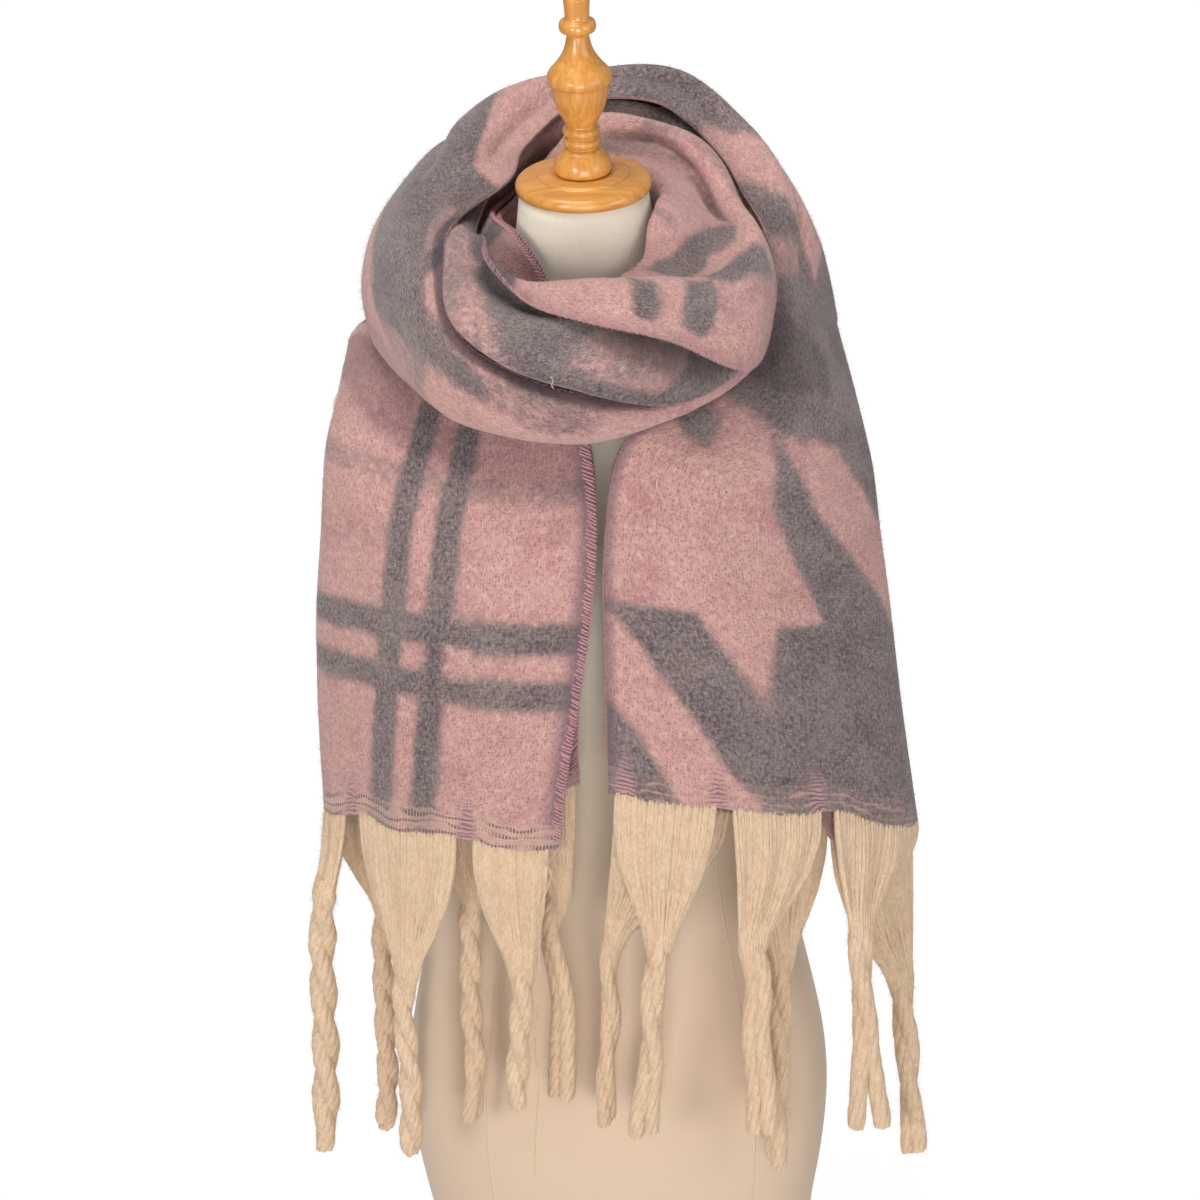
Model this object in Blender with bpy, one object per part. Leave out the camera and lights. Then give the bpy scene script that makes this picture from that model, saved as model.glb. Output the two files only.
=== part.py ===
"""A folded blanket scarf wound once round the neck of a linen dress form.

Row frame: +Z up, the viewer stands at -Y, metres. The origin is the centre of the foot's underside.
The scarf is one long cloth folded in half lengthwise, so each stretch is a U of two walls: the outer
wall, the fold, and the inner wall. It climbs from the left hem over the left shoulder, goes behind
the neck, crosses the throat as the front loop, goes behind the neck again outside itself, and falls
over the right shoulder to the right hem.
"""

import math
from collections import namedtuple

import bmesh
import bpy
from mathutils import Vector

MM = 0.001

# ---- driving sizes, metres -------------------------------------------------------------------
CLOTH_WALL = 0.003  # brushed cloth with its nap pressed flat
SEAM_GAP = 0.0003
ROW_STEP = 0.023  # about this far between two sections of the cloth solids
ACROSS = 14  # named points across a section, edge to edge
SPLITS = (2, 3, 3, 2, 2, 2, 2, 2, 2, 2, 2, 1, 1)  # spans of the cloth solids from each point to the next
COLUMNS = sum(SPLITS)
FORM_SEGMENTS = 36
TURNED_SEGMENTS = 24
STRIP_TALL = 0.008
STRIP_SPAN = (SEAM_GAP, SEAM_GAP + STRIP_TALL)
TASSEL_SECTIONS = 15
ROOT_INSET = 0.13  # bare share of a lock's room on the strip, at each side
ROOT_THICK = 0.0045
ROPE_WIDE = 0.018
ROPE_TURN = 14.0  # radians of twist over a whole lock's length

COLOURS = {
    "cloth": (0.52, 0.30, 0.31, 1.0),
    "yarn": (0.78, 0.63, 0.45, 1.0),
    "linen": (0.72, 0.66, 0.56, 1.0),
    "wood": (0.72, 0.36, 0.08, 1.0),
}
ROUGHNESS = {"cloth": 0.95, "yarn": 0.9, "linen": 0.85, "wood": 0.3}

# ---- the dress form, millimetres -------------------------------------------------------------
Ring = namedtuple("Ring", "z half_width front back")
FORM_RINGS = (
    Ring(30, 122, 80, 88),
    Ring(58, 137, 89, 99),
    Ring(90, 143, 93, 105),
    Ring(135, 151, 98, 111),
    Ring(180, 155, 100, 114),
    Ring(230, 152, 99, 112),
    Ring(300, 139, 93, 100),
    Ring(360, 126, 86, 86),
    Ring(420, 119, 82, 78),
    Ring(480, 122, 90, 84),
    Ring(540, 130, 106, 92),
    Ring(600, 139, 120, 100),
    Ring(645, 148, 119, 104),
    Ring(690, 162, 106, 106),
    Ring(720, 177, 90, 103),
    Ring(743, 183, 74, 93),
    Ring(757, 164, 66, 86),
    Ring(770, 134, 60, 78),
    Ring(783, 107, 56, 71),
    Ring(797, 83, 53, 64),
    Ring(812, 67, 50, 57),
    Ring(831, 57, 48, 52),
    Ring(860, 50, 46, 48),
    Ring(897, 45, 44, 45),
)
FORM_SQUARENESS = 2.25  # 2 is an ellipse

# Turned profiles: radius, height.
Turn = namedtuple("Turn", "radius z")
FOOT_PROFILE = (Turn(112, 0), Turn(118, 5), Turn(118, 22), Turn(110, 29.7))
CAP_PROFILE = (
    Turn(43, 897.4),
    Turn(46.5, 898.6),
    Turn(47.8, 902),
    Turn(46.6, 905.6),
    Turn(43, 907.6),
    Turn(33, 909.2),
    Turn(31.5, 911),
    Turn(24, 912.2),
    Turn(22, 911.6),
)
FINIAL_PROFILE = (
    Turn(19.6, 912.0),
    Turn(20.2, 915),
    Turn(19, 921),
    Turn(14.5, 928),
    Turn(11.4, 930.5),
    Turn(12.8, 933.2),
    Turn(12.8, 936.2),
    Turn(11.2, 938.4),
    Turn(12.9, 940.8),
    Turn(12.9, 944),
    Turn(10.8, 946.6),
    Turn(12.2, 950),
    Turn(16.6, 959),
    Turn(19.6, 969),
    Turn(20.4, 977),
    Turn(22.4, 978.6),
    Turn(22.8, 982.5),
    Turn(21.2, 986.6),
    Turn(15.8, 993),
    Turn(10.8, 1001),
    Turn(8.3, 1010),
    Turn(8.2, 1014),
    Turn(12.2, 1016),
    Turn(13.1, 1019.5),
    Turn(12.0, 1023),
    Turn(9.0, 1025),
    Turn(8.9, 1032),
    Turn(9.4, 1040),
    Turn(8.6, 1041),
)

# ---- the scarf's sections, millimetres -------------------------------------------------------
# Lay: the cloth lies double over the chest or a shoulder. The points are on the outer wall.
# ply_gap is how far the inner wall lies behind it.
Lay = namedtuple("Lay", "edge_x edge_y edge_z mid_x mid_y mid_z fold_x fold_y fold_z ply_gap")
# Outer and Inner: the cloth stands round the neck. theta is 0 at the throat and 90 over the right
# shoulder. The outer wall runs from its cut edge over its top and its roll down to the fold. The
# inner wall rises from a low point past the chin, breast and nook to the brow, and folds over
# outwards by way of the shelf and the crest to its lip, the other cut edge.
Outer = namedtuple("Outer", "theta edge_r edge_z top_r top_z roll_r roll_z fold_r fold_z")
Inner = namedtuple(
    "Inner",
    "low_r low_z chin_r chin_z breast_r breast_z nook_r nook_z"
    " brow_r brow_z shelf_r shelf_z crest_r crest_z lip_r lip_z",
)

LEFT_PANEL = (
    Lay(-37, -150, 449, -125, -138, 450, -209, -62, 450, 12),
    Lay(-28, -158, 520, -120, -144, 520, -209, -60, 520, 11),
    Lay(-12, -160, 610, -112, -146, 605, -206, -58, 600, 10),
    Lay(-2, -156, 690, -102, -138, 680, -199, -54, 668, 10),
    Lay(-2, -134, 748, -98, -112, 735, -192, -50, 728, 9),
    Lay(-14, -98, 803, -105, -76, 777, -180, -22, 766, 9),
)
LEFT_SHOULDER = (
    Lay(-29, -63, 853, -112, -38, 802, -174, 8, 779, 7),
    Lay(-49, -37, 880, -112, 5, 810, -168, 40, 783, 5),
    Lay(-64, 12, 876, -108, 42, 812, -150, 72, 782, 5),
)
INNER_WRAP = (
    (
        Outer(-140, 84, 868, 97, 856, 112, 832, 122, 790),
        Inner(104, 792, 93, 804, 85, 817, 78, 832, 73, 846, 70, 856, 71, 865, 76, 870),
    ),
    (
        Outer(180, 96, 895, 102, 884, 107, 845, 104, 780),
        Inner(94, 790, 85, 803, 76, 822, 66, 850, 66, 880, 73, 896, 85, 914, 95, 905),
    ),
    (
        Outer(150, 103, 895, 107, 884, 111, 845, 108, 780),
        Inner(95, 790, 84, 804, 74, 822, 62, 848, 65, 888, 77, 897, 91, 916, 103, 905),
    ),
    (
        Outer(120, 108, 880, 113, 868, 118, 840, 115, 788),
        Inner(98, 796, 85, 808, 73, 824, 60, 846, 58, 892, 82, 890, 96, 909, 108, 896),
    ),
)
FRONT_LOOP = (
    (
        Outer(95, 107, 855, 112, 846, 117, 825, 116, 798),
        Inner(101, 802, 87, 811, 73, 824, 58, 845, 56, 893, 88, 875, 102, 886, 113, 870),
    ),
    (
        Outer(75, 114, 842, 120, 834, 124, 818, 121, 800),
        Inner(106, 804, 91, 811, 75, 824, 58, 845, 55, 890, 92, 868, 118, 879, 132, 858),
    ),
    (
        Outer(58, 121, 809, 130, 808, 138, 803, 131, 794),
        Inner(112, 799, 105, 808, 99, 824, 61, 842, 55, 884, 96, 862, 134, 868, 151, 838),
    ),
    (
        Outer(40, 133, 799, 140, 797, 143, 792, 136, 785),
        Inner(116, 793, 110, 803, 158, 812, 95, 838, 61, 866, 100, 858, 134, 867, 169, 812),
    ),
    (
        Outer(20, 142, 792, 150, 791, 152, 787, 144, 782),
        Inner(120, 789, 114, 801, 171, 803, 142, 834, 114, 850, 110, 866, 125, 877, 159, 844),
    ),
    (
        Outer(0, 154, 803, 167, 800, 170, 786, 150, 775),
        Inner(122, 787, 116, 802, 171, 818, 136, 848, 114, 856, 112, 868, 121, 879, 143, 857),
    ),
    (
        Outer(-20, 149, 817, 163, 814, 170, 790, 150, 776),
        Inner(122, 789, 116, 808, 164, 832, 130, 851, 110, 851, 106, 862, 112, 872, 122, 862),
    ),
    (
        Outer(-40, 139, 834, 158, 831, 167, 800, 150, 783),
        Inner(122, 796, 116, 815, 144, 848, 123, 863, 106, 858, 98, 864, 98, 873, 105, 879),
    ),
    (
        Outer(-62, 121, 875, 147, 861, 161, 824, 150, 798),
        Inner(125, 812, 117, 835, 112, 864, 105, 881, 96, 885, 90, 882, 85, 880, 79, 878),
    ),
)
OUTER_WRAP = (
    (
        Outer(-90, 90, 890, 134, 887, 160, 840, 150, 800),
        Inner(122, 824, 110, 845, 101, 864, 92, 876, 87, 879, 83, 878, 80, 875, 77, 871),
    ),
    (
        Outer(-120, 60, 902, 116, 911, 161, 858, 150, 799),
        Inner(124, 822, 113, 842, 102, 862, 93, 875, 88, 880, 84, 882, 80, 883, 76, 883),
    ),
    (
        Outer(-150, 107, 902, 133, 926, 162, 864, 146, 790),
        Inner(126, 816, 120, 838, 113, 858, 102, 875, 96, 884, 93, 889, 92, 894, 92, 899),
    ),
    (
        Outer(180, 124, 908, 137, 933, 161, 870, 142, 778),
        Inner(126, 808, 122, 835, 119, 862, 111, 888, 105, 903, 105, 912, 110, 919, 117, 912),
    ),
    (
        Outer(150, 132, 912, 143, 934, 160, 866, 144, 778),
        Inner(128, 808, 126, 835, 124, 862, 117, 886, 110, 902, 111, 914, 118, 922, 125, 912),
    ),
    (
        Outer(122, 136, 901, 148, 904, 163, 846, 156, 784),
        Inner(136, 808, 134, 830, 131, 850, 124, 868, 118, 879, 118, 888, 123, 894, 129, 888),
    ),
    (
        Outer(100, 127, 885, 148, 879, 167, 838, 172, 782),
        Inner(147, 808, 143, 823, 138, 838, 134, 850, 131, 858, 129, 864, 128, 869, 127, 874),
    ),
)
RIGHT_PANEL = (
    Lay(130, -6, 860, 155, -6, 828, 177, 12, 778, 5),
    Lay(131, -20, 820, 159, -30, 792, 185, -12, 752, 5),
    Lay(122, -47, 783, 156, -60, 764, 192, -38, 728, 6),
    Lay(98, -80, 772, 146, -90, 746, 198, -46, 702, 7),
    Lay(58, -112, 766, 132, -112, 728, 201, -50, 680, 8),
    Lay(18, -143, 757, 111, -129, 708, 204, -51, 652, 9),
    Lay(4, -156, 692, 107, -142, 646, 210, -52, 597, 10),
    Lay(2, -158, 610, 108, -148, 570, 217, -55, 520, 11),
    Lay(0, -160, 500, 112, -150, 456, 229, -60, 412, 12),
)
# Each stretch of the scarf in the order of the cloth's length, with the node that it becomes.
STRETCHES = (
    ("left_panel", LEFT_PANEL),
    ("left_shoulder_wrap", LEFT_SHOULDER),
    ("inner_back_wrap", INNER_WRAP),
    ("front_loop", FRONT_LOOP),
    ("outer_back_wrap", OUTER_WRAP),
    ("right_panel", RIGHT_PANEL),
)

# The locks of each fringe in the order of the cloth's width, outer edge to inner edge.
Tassel = namedtuple("Tassel", "neck_x neck_y neck_z tip_x tip_y tip_z")
LEFT_TASSELS = (
    Tassel(-66, -152, 392, -74, -152, 245),
    Tassel(-149, -132, 370, -154, -136, 203),
    Tassel(-207, -92, 371, -217, -98, 191),
    Tassel(-169, -68, 350, -174, -72, 188),
    Tassel(-108, -112, 378, -108, -114, 217),
    Tassel(-40, -130, 392, -45, -126, 240),
)
RIGHT_TASSELS = (
    Tassel(26, -160, 392, 13, -160, 224),
    Tassel(101, -150, 362, 104, -152, 219),
    Tassel(181, -118, 365, 180, -122, 202),
    Tassel(213, -74, 330, 215, -84, 158),
    Tassel(124, -120, 345, 111, -122, 172),
    Tassel(0, -140, 385, -12, -138, 222),
)
HEM_BACK_SHIFT = Vector((20, 0, 45))  # how far the left hem's back ply has slipped, at its cut edge
HEM_SHIFT_ROWS = 2.0


OUTER_SHARES = (0.0, 0.30, 0.62, 0.90)  # places of a lying section's points, edge to fold
INNER_SHARES = (0.90, 0.72, 0.56, 0.42, 0.30, 0.20, 0.12, 0.05, 0.0)  # and back to the other edge


# ---- small tools -----------------------------------------------------------------------------
def clear_scene():
    for obj in list(bpy.data.objects):
        bpy.data.objects.remove(obj)


def material(name):
    made = bpy.data.materials.new(name)
    made.use_nodes = True
    shader = made.node_tree.nodes["Principled BSDF"]
    shader.inputs["Base Color"].default_value = COLOURS[name]
    shader.inputs["Roughness"].default_value = ROUGHNESS[name]
    made.diffuse_color = COLOURS[name]
    return made


def add_object(name, bm, finish):
    mesh = bpy.data.meshes.new(name)
    bm.to_mesh(mesh)
    bm.free()
    obj = bpy.data.objects.new(name, mesh)
    bpy.context.scene.collection.objects.link(obj)
    mesh.materials.append(finish)
    return obj


def catmull_rom(points, at):
    """The point at that place along a smooth curve through the points, one unit from each to the next."""
    last = len(points) - 1
    i = min(int(at), last - 1)
    f = at - i
    p1, p2 = points[i], points[i + 1]
    p0 = points[i - 1] if i > 0 else p1 * 2 - p2
    p3 = points[i + 2] if i + 2 <= last else p2 * 2 - p1
    return 0.5 * (
        p1 * 2 + (p2 - p0) * f + (p0 * 2 - p1 * 5 + p2 * 4 - p3) * f * f + (p1 * 3 - p0 - p2 * 3 + p3) * f**3
    )


# ---- the cloth's control net, with ACROSS points in each section ---------------------------------
def polar(theta, radius, z):
    angle = math.radians(theta)
    return Vector((radius * math.sin(angle), -radius * math.cos(angle), z))


def standing_points(outer, inner):
    """A standing section: the outer wall from its cut edge to the fold, then the inner wall."""
    o, i = outer, inner
    section = (
        (o.edge_r, o.edge_z),
        (o.top_r, o.top_z),
        (o.roll_r, o.roll_z),
        (0.4 * o.roll_r + 0.6 * o.fold_r + 3, 0.25 * o.roll_z + 0.75 * o.fold_z),
        (o.fold_r, o.fold_z),
        (i.low_r, i.low_z),
        (i.chin_r, i.chin_z),
        (i.breast_r, i.breast_z),
        (i.nook_r, i.nook_z),
        (i.brow_r, i.brow_z),
        (i.shelf_r, i.shelf_z),
        (i.crest_r, i.crest_z),
        (
            0.5 * (i.crest_r + i.lip_r) + 0.12 * (i.crest_z - i.lip_z),
            0.5 * (i.crest_z + i.lip_z) + 0.12 * (i.lip_r - i.crest_r),
        ),
        (i.lip_r, i.lip_z),
    )
    return [polar(o.theta, r, z) for r, z in section]


def lay_wall(row, share):
    """The outer wall of a lying section, from its cut edge (0) to its fold (1)."""
    edge = Vector((row.edge_x, row.edge_y, row.edge_z))
    mid = Vector((row.mid_x, row.mid_y, row.mid_z))
    fold = Vector((row.fold_x, row.fold_y, row.fold_z))
    s = share
    return edge * (1 - s) * (1 - 2 * s) + mid * 4 * s * (1 - s) + fold * s * (2 * s - 1)


def lay_inward(before, row, after, share):
    """The direction from the outer wall in towards the form."""
    along = lay_wall(after, share) - lay_wall(before, share)
    across = lay_wall(row, min(share + 0.05, 1)) - lay_wall(row, max(share - 0.05, 0))
    return across.cross(along).normalized()


def lay_points(before, row, after):
    """A lying section, whose inner wall is the outer wall moved in towards the form."""
    outer = [lay_wall(row, share) for share in OUTER_SHARES]
    inner = []
    for share in INNER_SHARES:
        inward = lay_inward(before, row, after, share)
        inner.append(lay_wall(row, share) + inward * row.ply_gap * (1 + 0.4 * share))
    fold = lay_wall(row, 1) + lay_inward(before, row, after, 0.95) * (row.ply_gap * 0.7)
    return outer + [fold] + inner


def control_net():
    """Every section of the scarf as ACROSS points, from the left hem to the right hem."""
    net = []
    for rows in (LEFT_PANEL + LEFT_SHOULDER, INNER_WRAP + FRONT_LOOP + OUTER_WRAP, RIGHT_PANEL):
        for i, row in enumerate(rows):
            if isinstance(row, Lay):
                net.append(lay_points(rows[max(i - 1, 0)], row, rows[min(i + 1, len(rows) - 1)]))
            else:
                net.append(standing_points(*row))
    for i in (0, 1):
        slip = HEM_BACK_SHIFT * (1 - i / HEM_SHIFT_ROWS)
        for k in range(5, ACROSS):
            net[i][k] = net[i][k] + slip * ((k - 4) / (ACROSS - 5))
    return net


def raw_point(net, along, across):
    """The middle of the cloth at a row position and a place in the list of named points, 0 to 1."""
    last = len(net) - 1
    i = min(int(along), last - 1)
    near = range(max(i - 1, 0), min(i + 3, last + 1))
    column = across * (len(net[0]) - 1)
    points = {j: catmull_rom(net[j], column) for j in near}
    p1, p2 = points[i], points[i + 1]
    p0 = points.get(i - 1, p1 * 2 - p2)
    p3 = points.get(i + 2, p2 * 2 - p1)
    return catmull_rom([p0, p1, p2, p3], 1 + along - i)


def section_at(net, along):
    """A section as COLUMNS + 1 points."""
    columns = [i + k / split for i, split in enumerate(SPLITS) for k in range(split)] + [ACROSS - 1]
    return [raw_point(net, along, column / (ACROSS - 1)) for column in columns]


def rows_between(net, first, last):
    """Row positions from first to last, about ROW_STEP apart along the cloth."""
    places = []
    for i in range(first, last):
        mean = sum((net[i + 1][k] - net[i][k]).length for k in range(ACROSS)) / ACROSS * MM
        steps = max(1, round(mean / ROW_STEP))
        places += [i + s / steps for s in range(steps)]
    return places + [float(last)]


# ---- pieces ----------------------------------------------------------------------------------
def cloth_grid(net):
    """(row places, points, normals) of the whole scarf; the last entry of each part is shared."""
    places = [0.0]
    first = 0
    for _, rows in STRETCHES:
        last = min(first + len(rows), len(net) - 1)
        places += rows_between(net, first, last)[1:]
        first = last
    points = [section_at(net, place) for place in places]
    normals = []
    for i in range(len(places)):
        low, high = points[max(i - 1, 0)], points[min(i + 1, len(places) - 1)]
        row = []
        for k in range(COLUMNS + 1):
            across = points[i][min(k + 1, COLUMNS)] - points[i][max(k - 1, 0)]
            row.append(across.cross(high[k] - low[k]).normalized())
        normals.append(row)
    return places, points, normals


def wall_between(bm, front, back):
    """A closed wall between two grids of points of the same shape."""
    sheets = [[[bm.verts.new(point) for point in row] for row in grid] for grid in (front, back)]
    rows, columns = len(front), len(front[0])
    for i in range(rows - 1):
        for k in range(columns - 1):
            f, b = sheets
            bm.faces.new((f[i][k], f[i][k + 1], f[i + 1][k + 1], f[i + 1][k]))
            bm.faces.new((b[i][k], b[i + 1][k], b[i + 1][k + 1], b[i][k + 1]))
    rims = [[(i, 0) for i in range(rows)], [(i, columns - 1) for i in range(rows)]]
    rims += [[(0, k) for k in range(columns)], [(rows - 1, k) for k in range(columns)]]
    for rim in rims:
        for (i, k), (j, m) in zip(rim, rim[1:]):
            bm.faces.new((sheets[0][i][k], sheets[0][j][m], sheets[1][j][m], sheets[1][i][k]))
    bmesh.ops.recalc_face_normals(bm, faces=bm.faces)


def make_stretch(name, grid, first, last, ends, finish):
    """One stretch of the folded cloth, a wall of even thickness, parted from its neighbours."""
    places, points, normals = grid
    inside = [i for i, place in enumerate(places) if first <= place <= last]
    rows = [list(points[i]) for i in inside]
    for end, step, free in ((0, 1, first == ends[0]), (-1, -1, last == ends[1])):
        if free:
            continue
        i = inside[end]
        for k in range(COLUMNS + 1):
            rows[end][k] = points[i][k] + (points[i + step][k] - points[i][k]).normalized() * (SEAM_GAP / MM / 2)
    half = CLOTH_WALL / MM / 2
    front = [[(p + n * half) * MM for p, n in zip(row, normals[i])] for row, i in zip(rows, inside)]
    back = [[(p - n * half) * MM for p, n in zip(row, normals[i])] for row, i in zip(rows, inside)]
    bm = bmesh.new()
    wall_between(bm, front, back)
    obj = add_object(name, bm, finish)
    obj.data.shade_smooth()
    return obj


def hem_frames(grid, end):
    """(middle of the cloth, direction out past the hem, cloth normal) at each column of a hem."""
    _, points, normals = grid
    before = 1 if end == 0 else -2
    frames = []
    for at, inside, normal in zip(points[end], points[before], normals[end]):
        out = at - inside
        out = (out - normal * out.dot(normal)).normalized()
        frames.append((at * MM, out, normal))
    return frames


def frame_between(frames, share):
    """The frame at a share of a hem's length."""
    steps = [(b[0] - a[0]).length for a, b in zip(frames, frames[1:])]
    want = share * sum(steps)
    k = 0
    while k < COLUMNS - 1 and want > steps[k]:
        want -= steps[k]
        k += 1
    return [a.lerp(b, min(1.0, want / steps[k])) for a, b in zip(frames[k], frames[k + 1])]


def make_strip(name, frames, finish):
    """The narrow strip of warp ends just past the hem, parted from the cloth by the seam gap."""
    bm = bmesh.new()
    faces = []
    for side in (CLOTH_WALL / 2, -CLOTH_WALL / 2):
        faces.append([[at + out * past + normal * side for at, out, normal in frames] for past in STRIP_SPAN])
    wall_between(bm, *faces)
    return add_object(name, bm, finish)


def make_tassels(name, frames, tassels, finish):
    """Four-sided locks, wide and flat at the root, drawn together at the neck and twisted below it."""
    bm = bmesh.new()
    for place, tassel in enumerate(tassels):
        _, out, normal = frame_between(frames, (place + 0.5) / len(tassels))
        first = frame_between(frames, (place + ROOT_INSET) / len(tassels))[0]
        last = frame_between(frames, (place + 1 - ROOT_INSET) / len(tassels))[0]
        root_wide = (last - first).length
        side = (last - first).normalized()
        out = (out - side * out.dot(side)).normalized()
        normal = side.cross(out)
        root = (first + last) / 2 + out * (SEAM_GAP + 0.75 * STRIP_TALL)
        neck = Vector((tassel.neck_x, tassel.neck_y, tassel.neck_z)) * MM
        tip = Vector((tassel.tip_x, tassel.tip_y, tassel.tip_z)) * MM
        path = [root, root.lerp(neck, 0.5) + out * 0.004, neck, neck.lerp(tip, 0.5), tip]
        rings = []
        for k in range(TASSEL_SECTIONS):
            s = k / (TASSEL_SECTIONS - 1)
            centre = catmull_rom(path, s * 4)
            fan = max(0.0, 1 - s / 0.44)
            width = ROPE_WIDE + (root_wide - ROPE_WIDE) * fan**1.15
            thick = ROPE_WIDE * 0.8 + (ROOT_THICK - ROPE_WIDE * 0.8) * fan**0.35
            turn = ROPE_TURN * max(0.0, s - 0.44)
            if s > 0.96:
                width, thick = width * 0.7, thick * 0.7
            a = side * math.cos(turn) + normal * math.sin(turn)
            b = normal * math.cos(turn) - side * math.sin(turn)
            corners = ((-1, -1), (1, -1), (1, 1), (-1, 1))
            rings.append([bm.verts.new(centre + a * (u * width / 2) + b * (v * thick / 2)) for u, v in corners])
        for upper, lower in zip(rings, rings[1:]):
            for k in range(4):
                m = (k + 1) % 4
                bm.faces.new((upper[k], upper[m], lower[m], lower[k]))
        bm.faces.new(rings[0][::-1])
        bm.faces.new(rings[-1])
    bmesh.ops.recalc_face_normals(bm, faces=bm.faces)
    obj = add_object(name, bm, finish)
    obj.hide_render = True
    obj.hide_viewport = False
    return obj


def make_fringe(name, grid, end, tassels, finish):
    frames = hem_frames(grid, end)
    strip = make_strip(name, frames, finish)
    locks = make_tassels(name + "_locks", frames, tassels, finish)
    fuse = strip.modifiers.new("roots", "BOOLEAN")
    fuse.operation = "UNION"
    fuse.solver = "EXACT"
    fuse.object = locks
    return strip


def make_form(finish):
    """The padded torso: rounded rings from the hips to the top of the neck."""
    bm = bmesh.new()
    loops = []
    for ring in FORM_RINGS:
        loop = []
        for k in range(FORM_SEGMENTS):
            a = 2 * math.pi * k / FORM_SEGMENTS
            c, s = math.cos(a), math.sin(a)
            power = 2 / FORM_SQUARENESS
            depth = ring.back if s > 0 else ring.front
            x = ring.half_width * math.copysign(abs(c) ** power, c)
            y = depth * math.copysign(abs(s) ** power, s)
            loop.append(bm.verts.new((x * MM, y * MM, ring.z * MM)))
        loops.append(loop)
    for low, high in zip(loops, loops[1:]):
        for k in range(FORM_SEGMENTS):
            m = (k + 1) % FORM_SEGMENTS
            bm.faces.new((low[k], low[m], high[m], high[k]))
    bm.faces.new(loops[0][::-1])
    bm.faces.new(loops[-1])
    obj = add_object("form_body", bm, finish)
    obj.data.shade_smooth()
    return obj


def make_turned(name, profile, finish):
    """A piece turned on a lathe about the neck's axis."""
    bm = bmesh.new()
    verts = [bm.verts.new((p.radius * MM, 0, p.z * MM)) for p in profile]
    edges = [bm.edges.new(pair) for pair in zip(verts, verts[1:])]
    bmesh.ops.spin(
        bm,
        geom=verts + edges,
        cent=(0, 0, 0),
        axis=(0, 0, 1),
        angle=2 * math.pi,
        steps=TURNED_SEGMENTS,
        use_merge=True,
    )
    bmesh.ops.remove_doubles(bm, verts=bm.verts, dist=1e-6)
    bmesh.ops.holes_fill(bm, edges=bm.edges, sides=0)
    bmesh.ops.recalc_face_normals(bm, faces=bm.faces)
    return add_object(name, bm, finish)


def main():
    clear_scene()
    finishes = {name: material(name) for name in COLOURS}
    net = control_net()
    grid = cloth_grid(net)
    first = 0
    for name, rows in STRETCHES:
        last = min(first + len(rows), len(net) - 1)
        make_stretch(name, grid, first, last, (0, len(net) - 1), finishes["cloth"])
        first = last
    make_fringe("left_fringe", grid, 0, LEFT_TASSELS, finishes["yarn"])
    make_fringe("right_fringe", grid, -1, RIGHT_TASSELS, finishes["yarn"])
    make_form(finishes["linen"])
    make_turned("form_foot", FOOT_PROFILE, finishes["wood"])
    make_turned("neck_cap", CAP_PROFILE, finishes["wood"])
    make_turned("finial", FINIAL_PROFILE, finishes["wood"])


main()
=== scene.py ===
import math

import bmesh
import bpy
import numpy as np
from mathutils import Matrix, Vector, noise
from mathutils.bvhtree import BVHTree


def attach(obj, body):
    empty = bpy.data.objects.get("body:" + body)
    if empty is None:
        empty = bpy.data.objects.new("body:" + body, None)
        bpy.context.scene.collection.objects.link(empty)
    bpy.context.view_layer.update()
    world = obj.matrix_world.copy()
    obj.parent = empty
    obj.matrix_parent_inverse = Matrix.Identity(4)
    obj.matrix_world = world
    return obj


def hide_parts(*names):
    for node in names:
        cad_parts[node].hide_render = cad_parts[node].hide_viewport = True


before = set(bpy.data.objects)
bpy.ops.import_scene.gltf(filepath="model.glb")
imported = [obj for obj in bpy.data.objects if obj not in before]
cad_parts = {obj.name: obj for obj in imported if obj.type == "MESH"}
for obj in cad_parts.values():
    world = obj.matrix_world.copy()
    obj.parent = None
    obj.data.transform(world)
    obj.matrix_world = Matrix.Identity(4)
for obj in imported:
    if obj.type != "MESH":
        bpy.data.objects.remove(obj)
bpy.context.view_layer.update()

# ---- Camera, floor and light -----------------------------------------------------------------
# The viewer stands in front and looks down on the form's shoulders, with the head a little tilted.
# The floor is plain and pale. Broad soft lamps stand in front, at both sides, overhead and behind.
AIM = Vector((0.0, 0.0, 0.58))
VIEW_DISTANCE = 4.5
LOOK_DOWN = math.radians(25.5)
HEAD_TILT = math.radians(2.26)
LENS = 187.5  # millimetres
SENSOR = 36.0
WHITE = (1.0, 1.0, 1.0, 1.0)
STUDIO_LIGHT = 0.27  # what falls on the form from all round
STUDIO_SEEN = 1.1  # what the camera sees behind it
FLOOR_HALF = 12.0
FLOOR_GREY = (0.50, 0.50, 0.50, 1.0)
FLOOR_GLOW = 1.25
FLOOR_GLOW_SHARE = 0.72

back = Vector((0.0, -math.cos(LOOK_DOWN), math.sin(LOOK_DOWN)))
camera_data = bpy.data.cameras.new("view")
camera_data.lens = LENS
camera_data.sensor_width = SENSOR
camera = bpy.data.objects.new("view", camera_data)
turn = back.to_track_quat("Z", "Y").to_matrix().to_4x4() @ Matrix.Rotation(-HEAD_TILT, 4, "Z")
camera.matrix_world = Matrix.Translation(AIM + back * VIEW_DISTANCE) @ turn
bpy.context.scene.collection.objects.link(camera)
bpy.context.scene.camera = camera
bpy.context.scene.view_settings.view_transform = "Standard"

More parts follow.
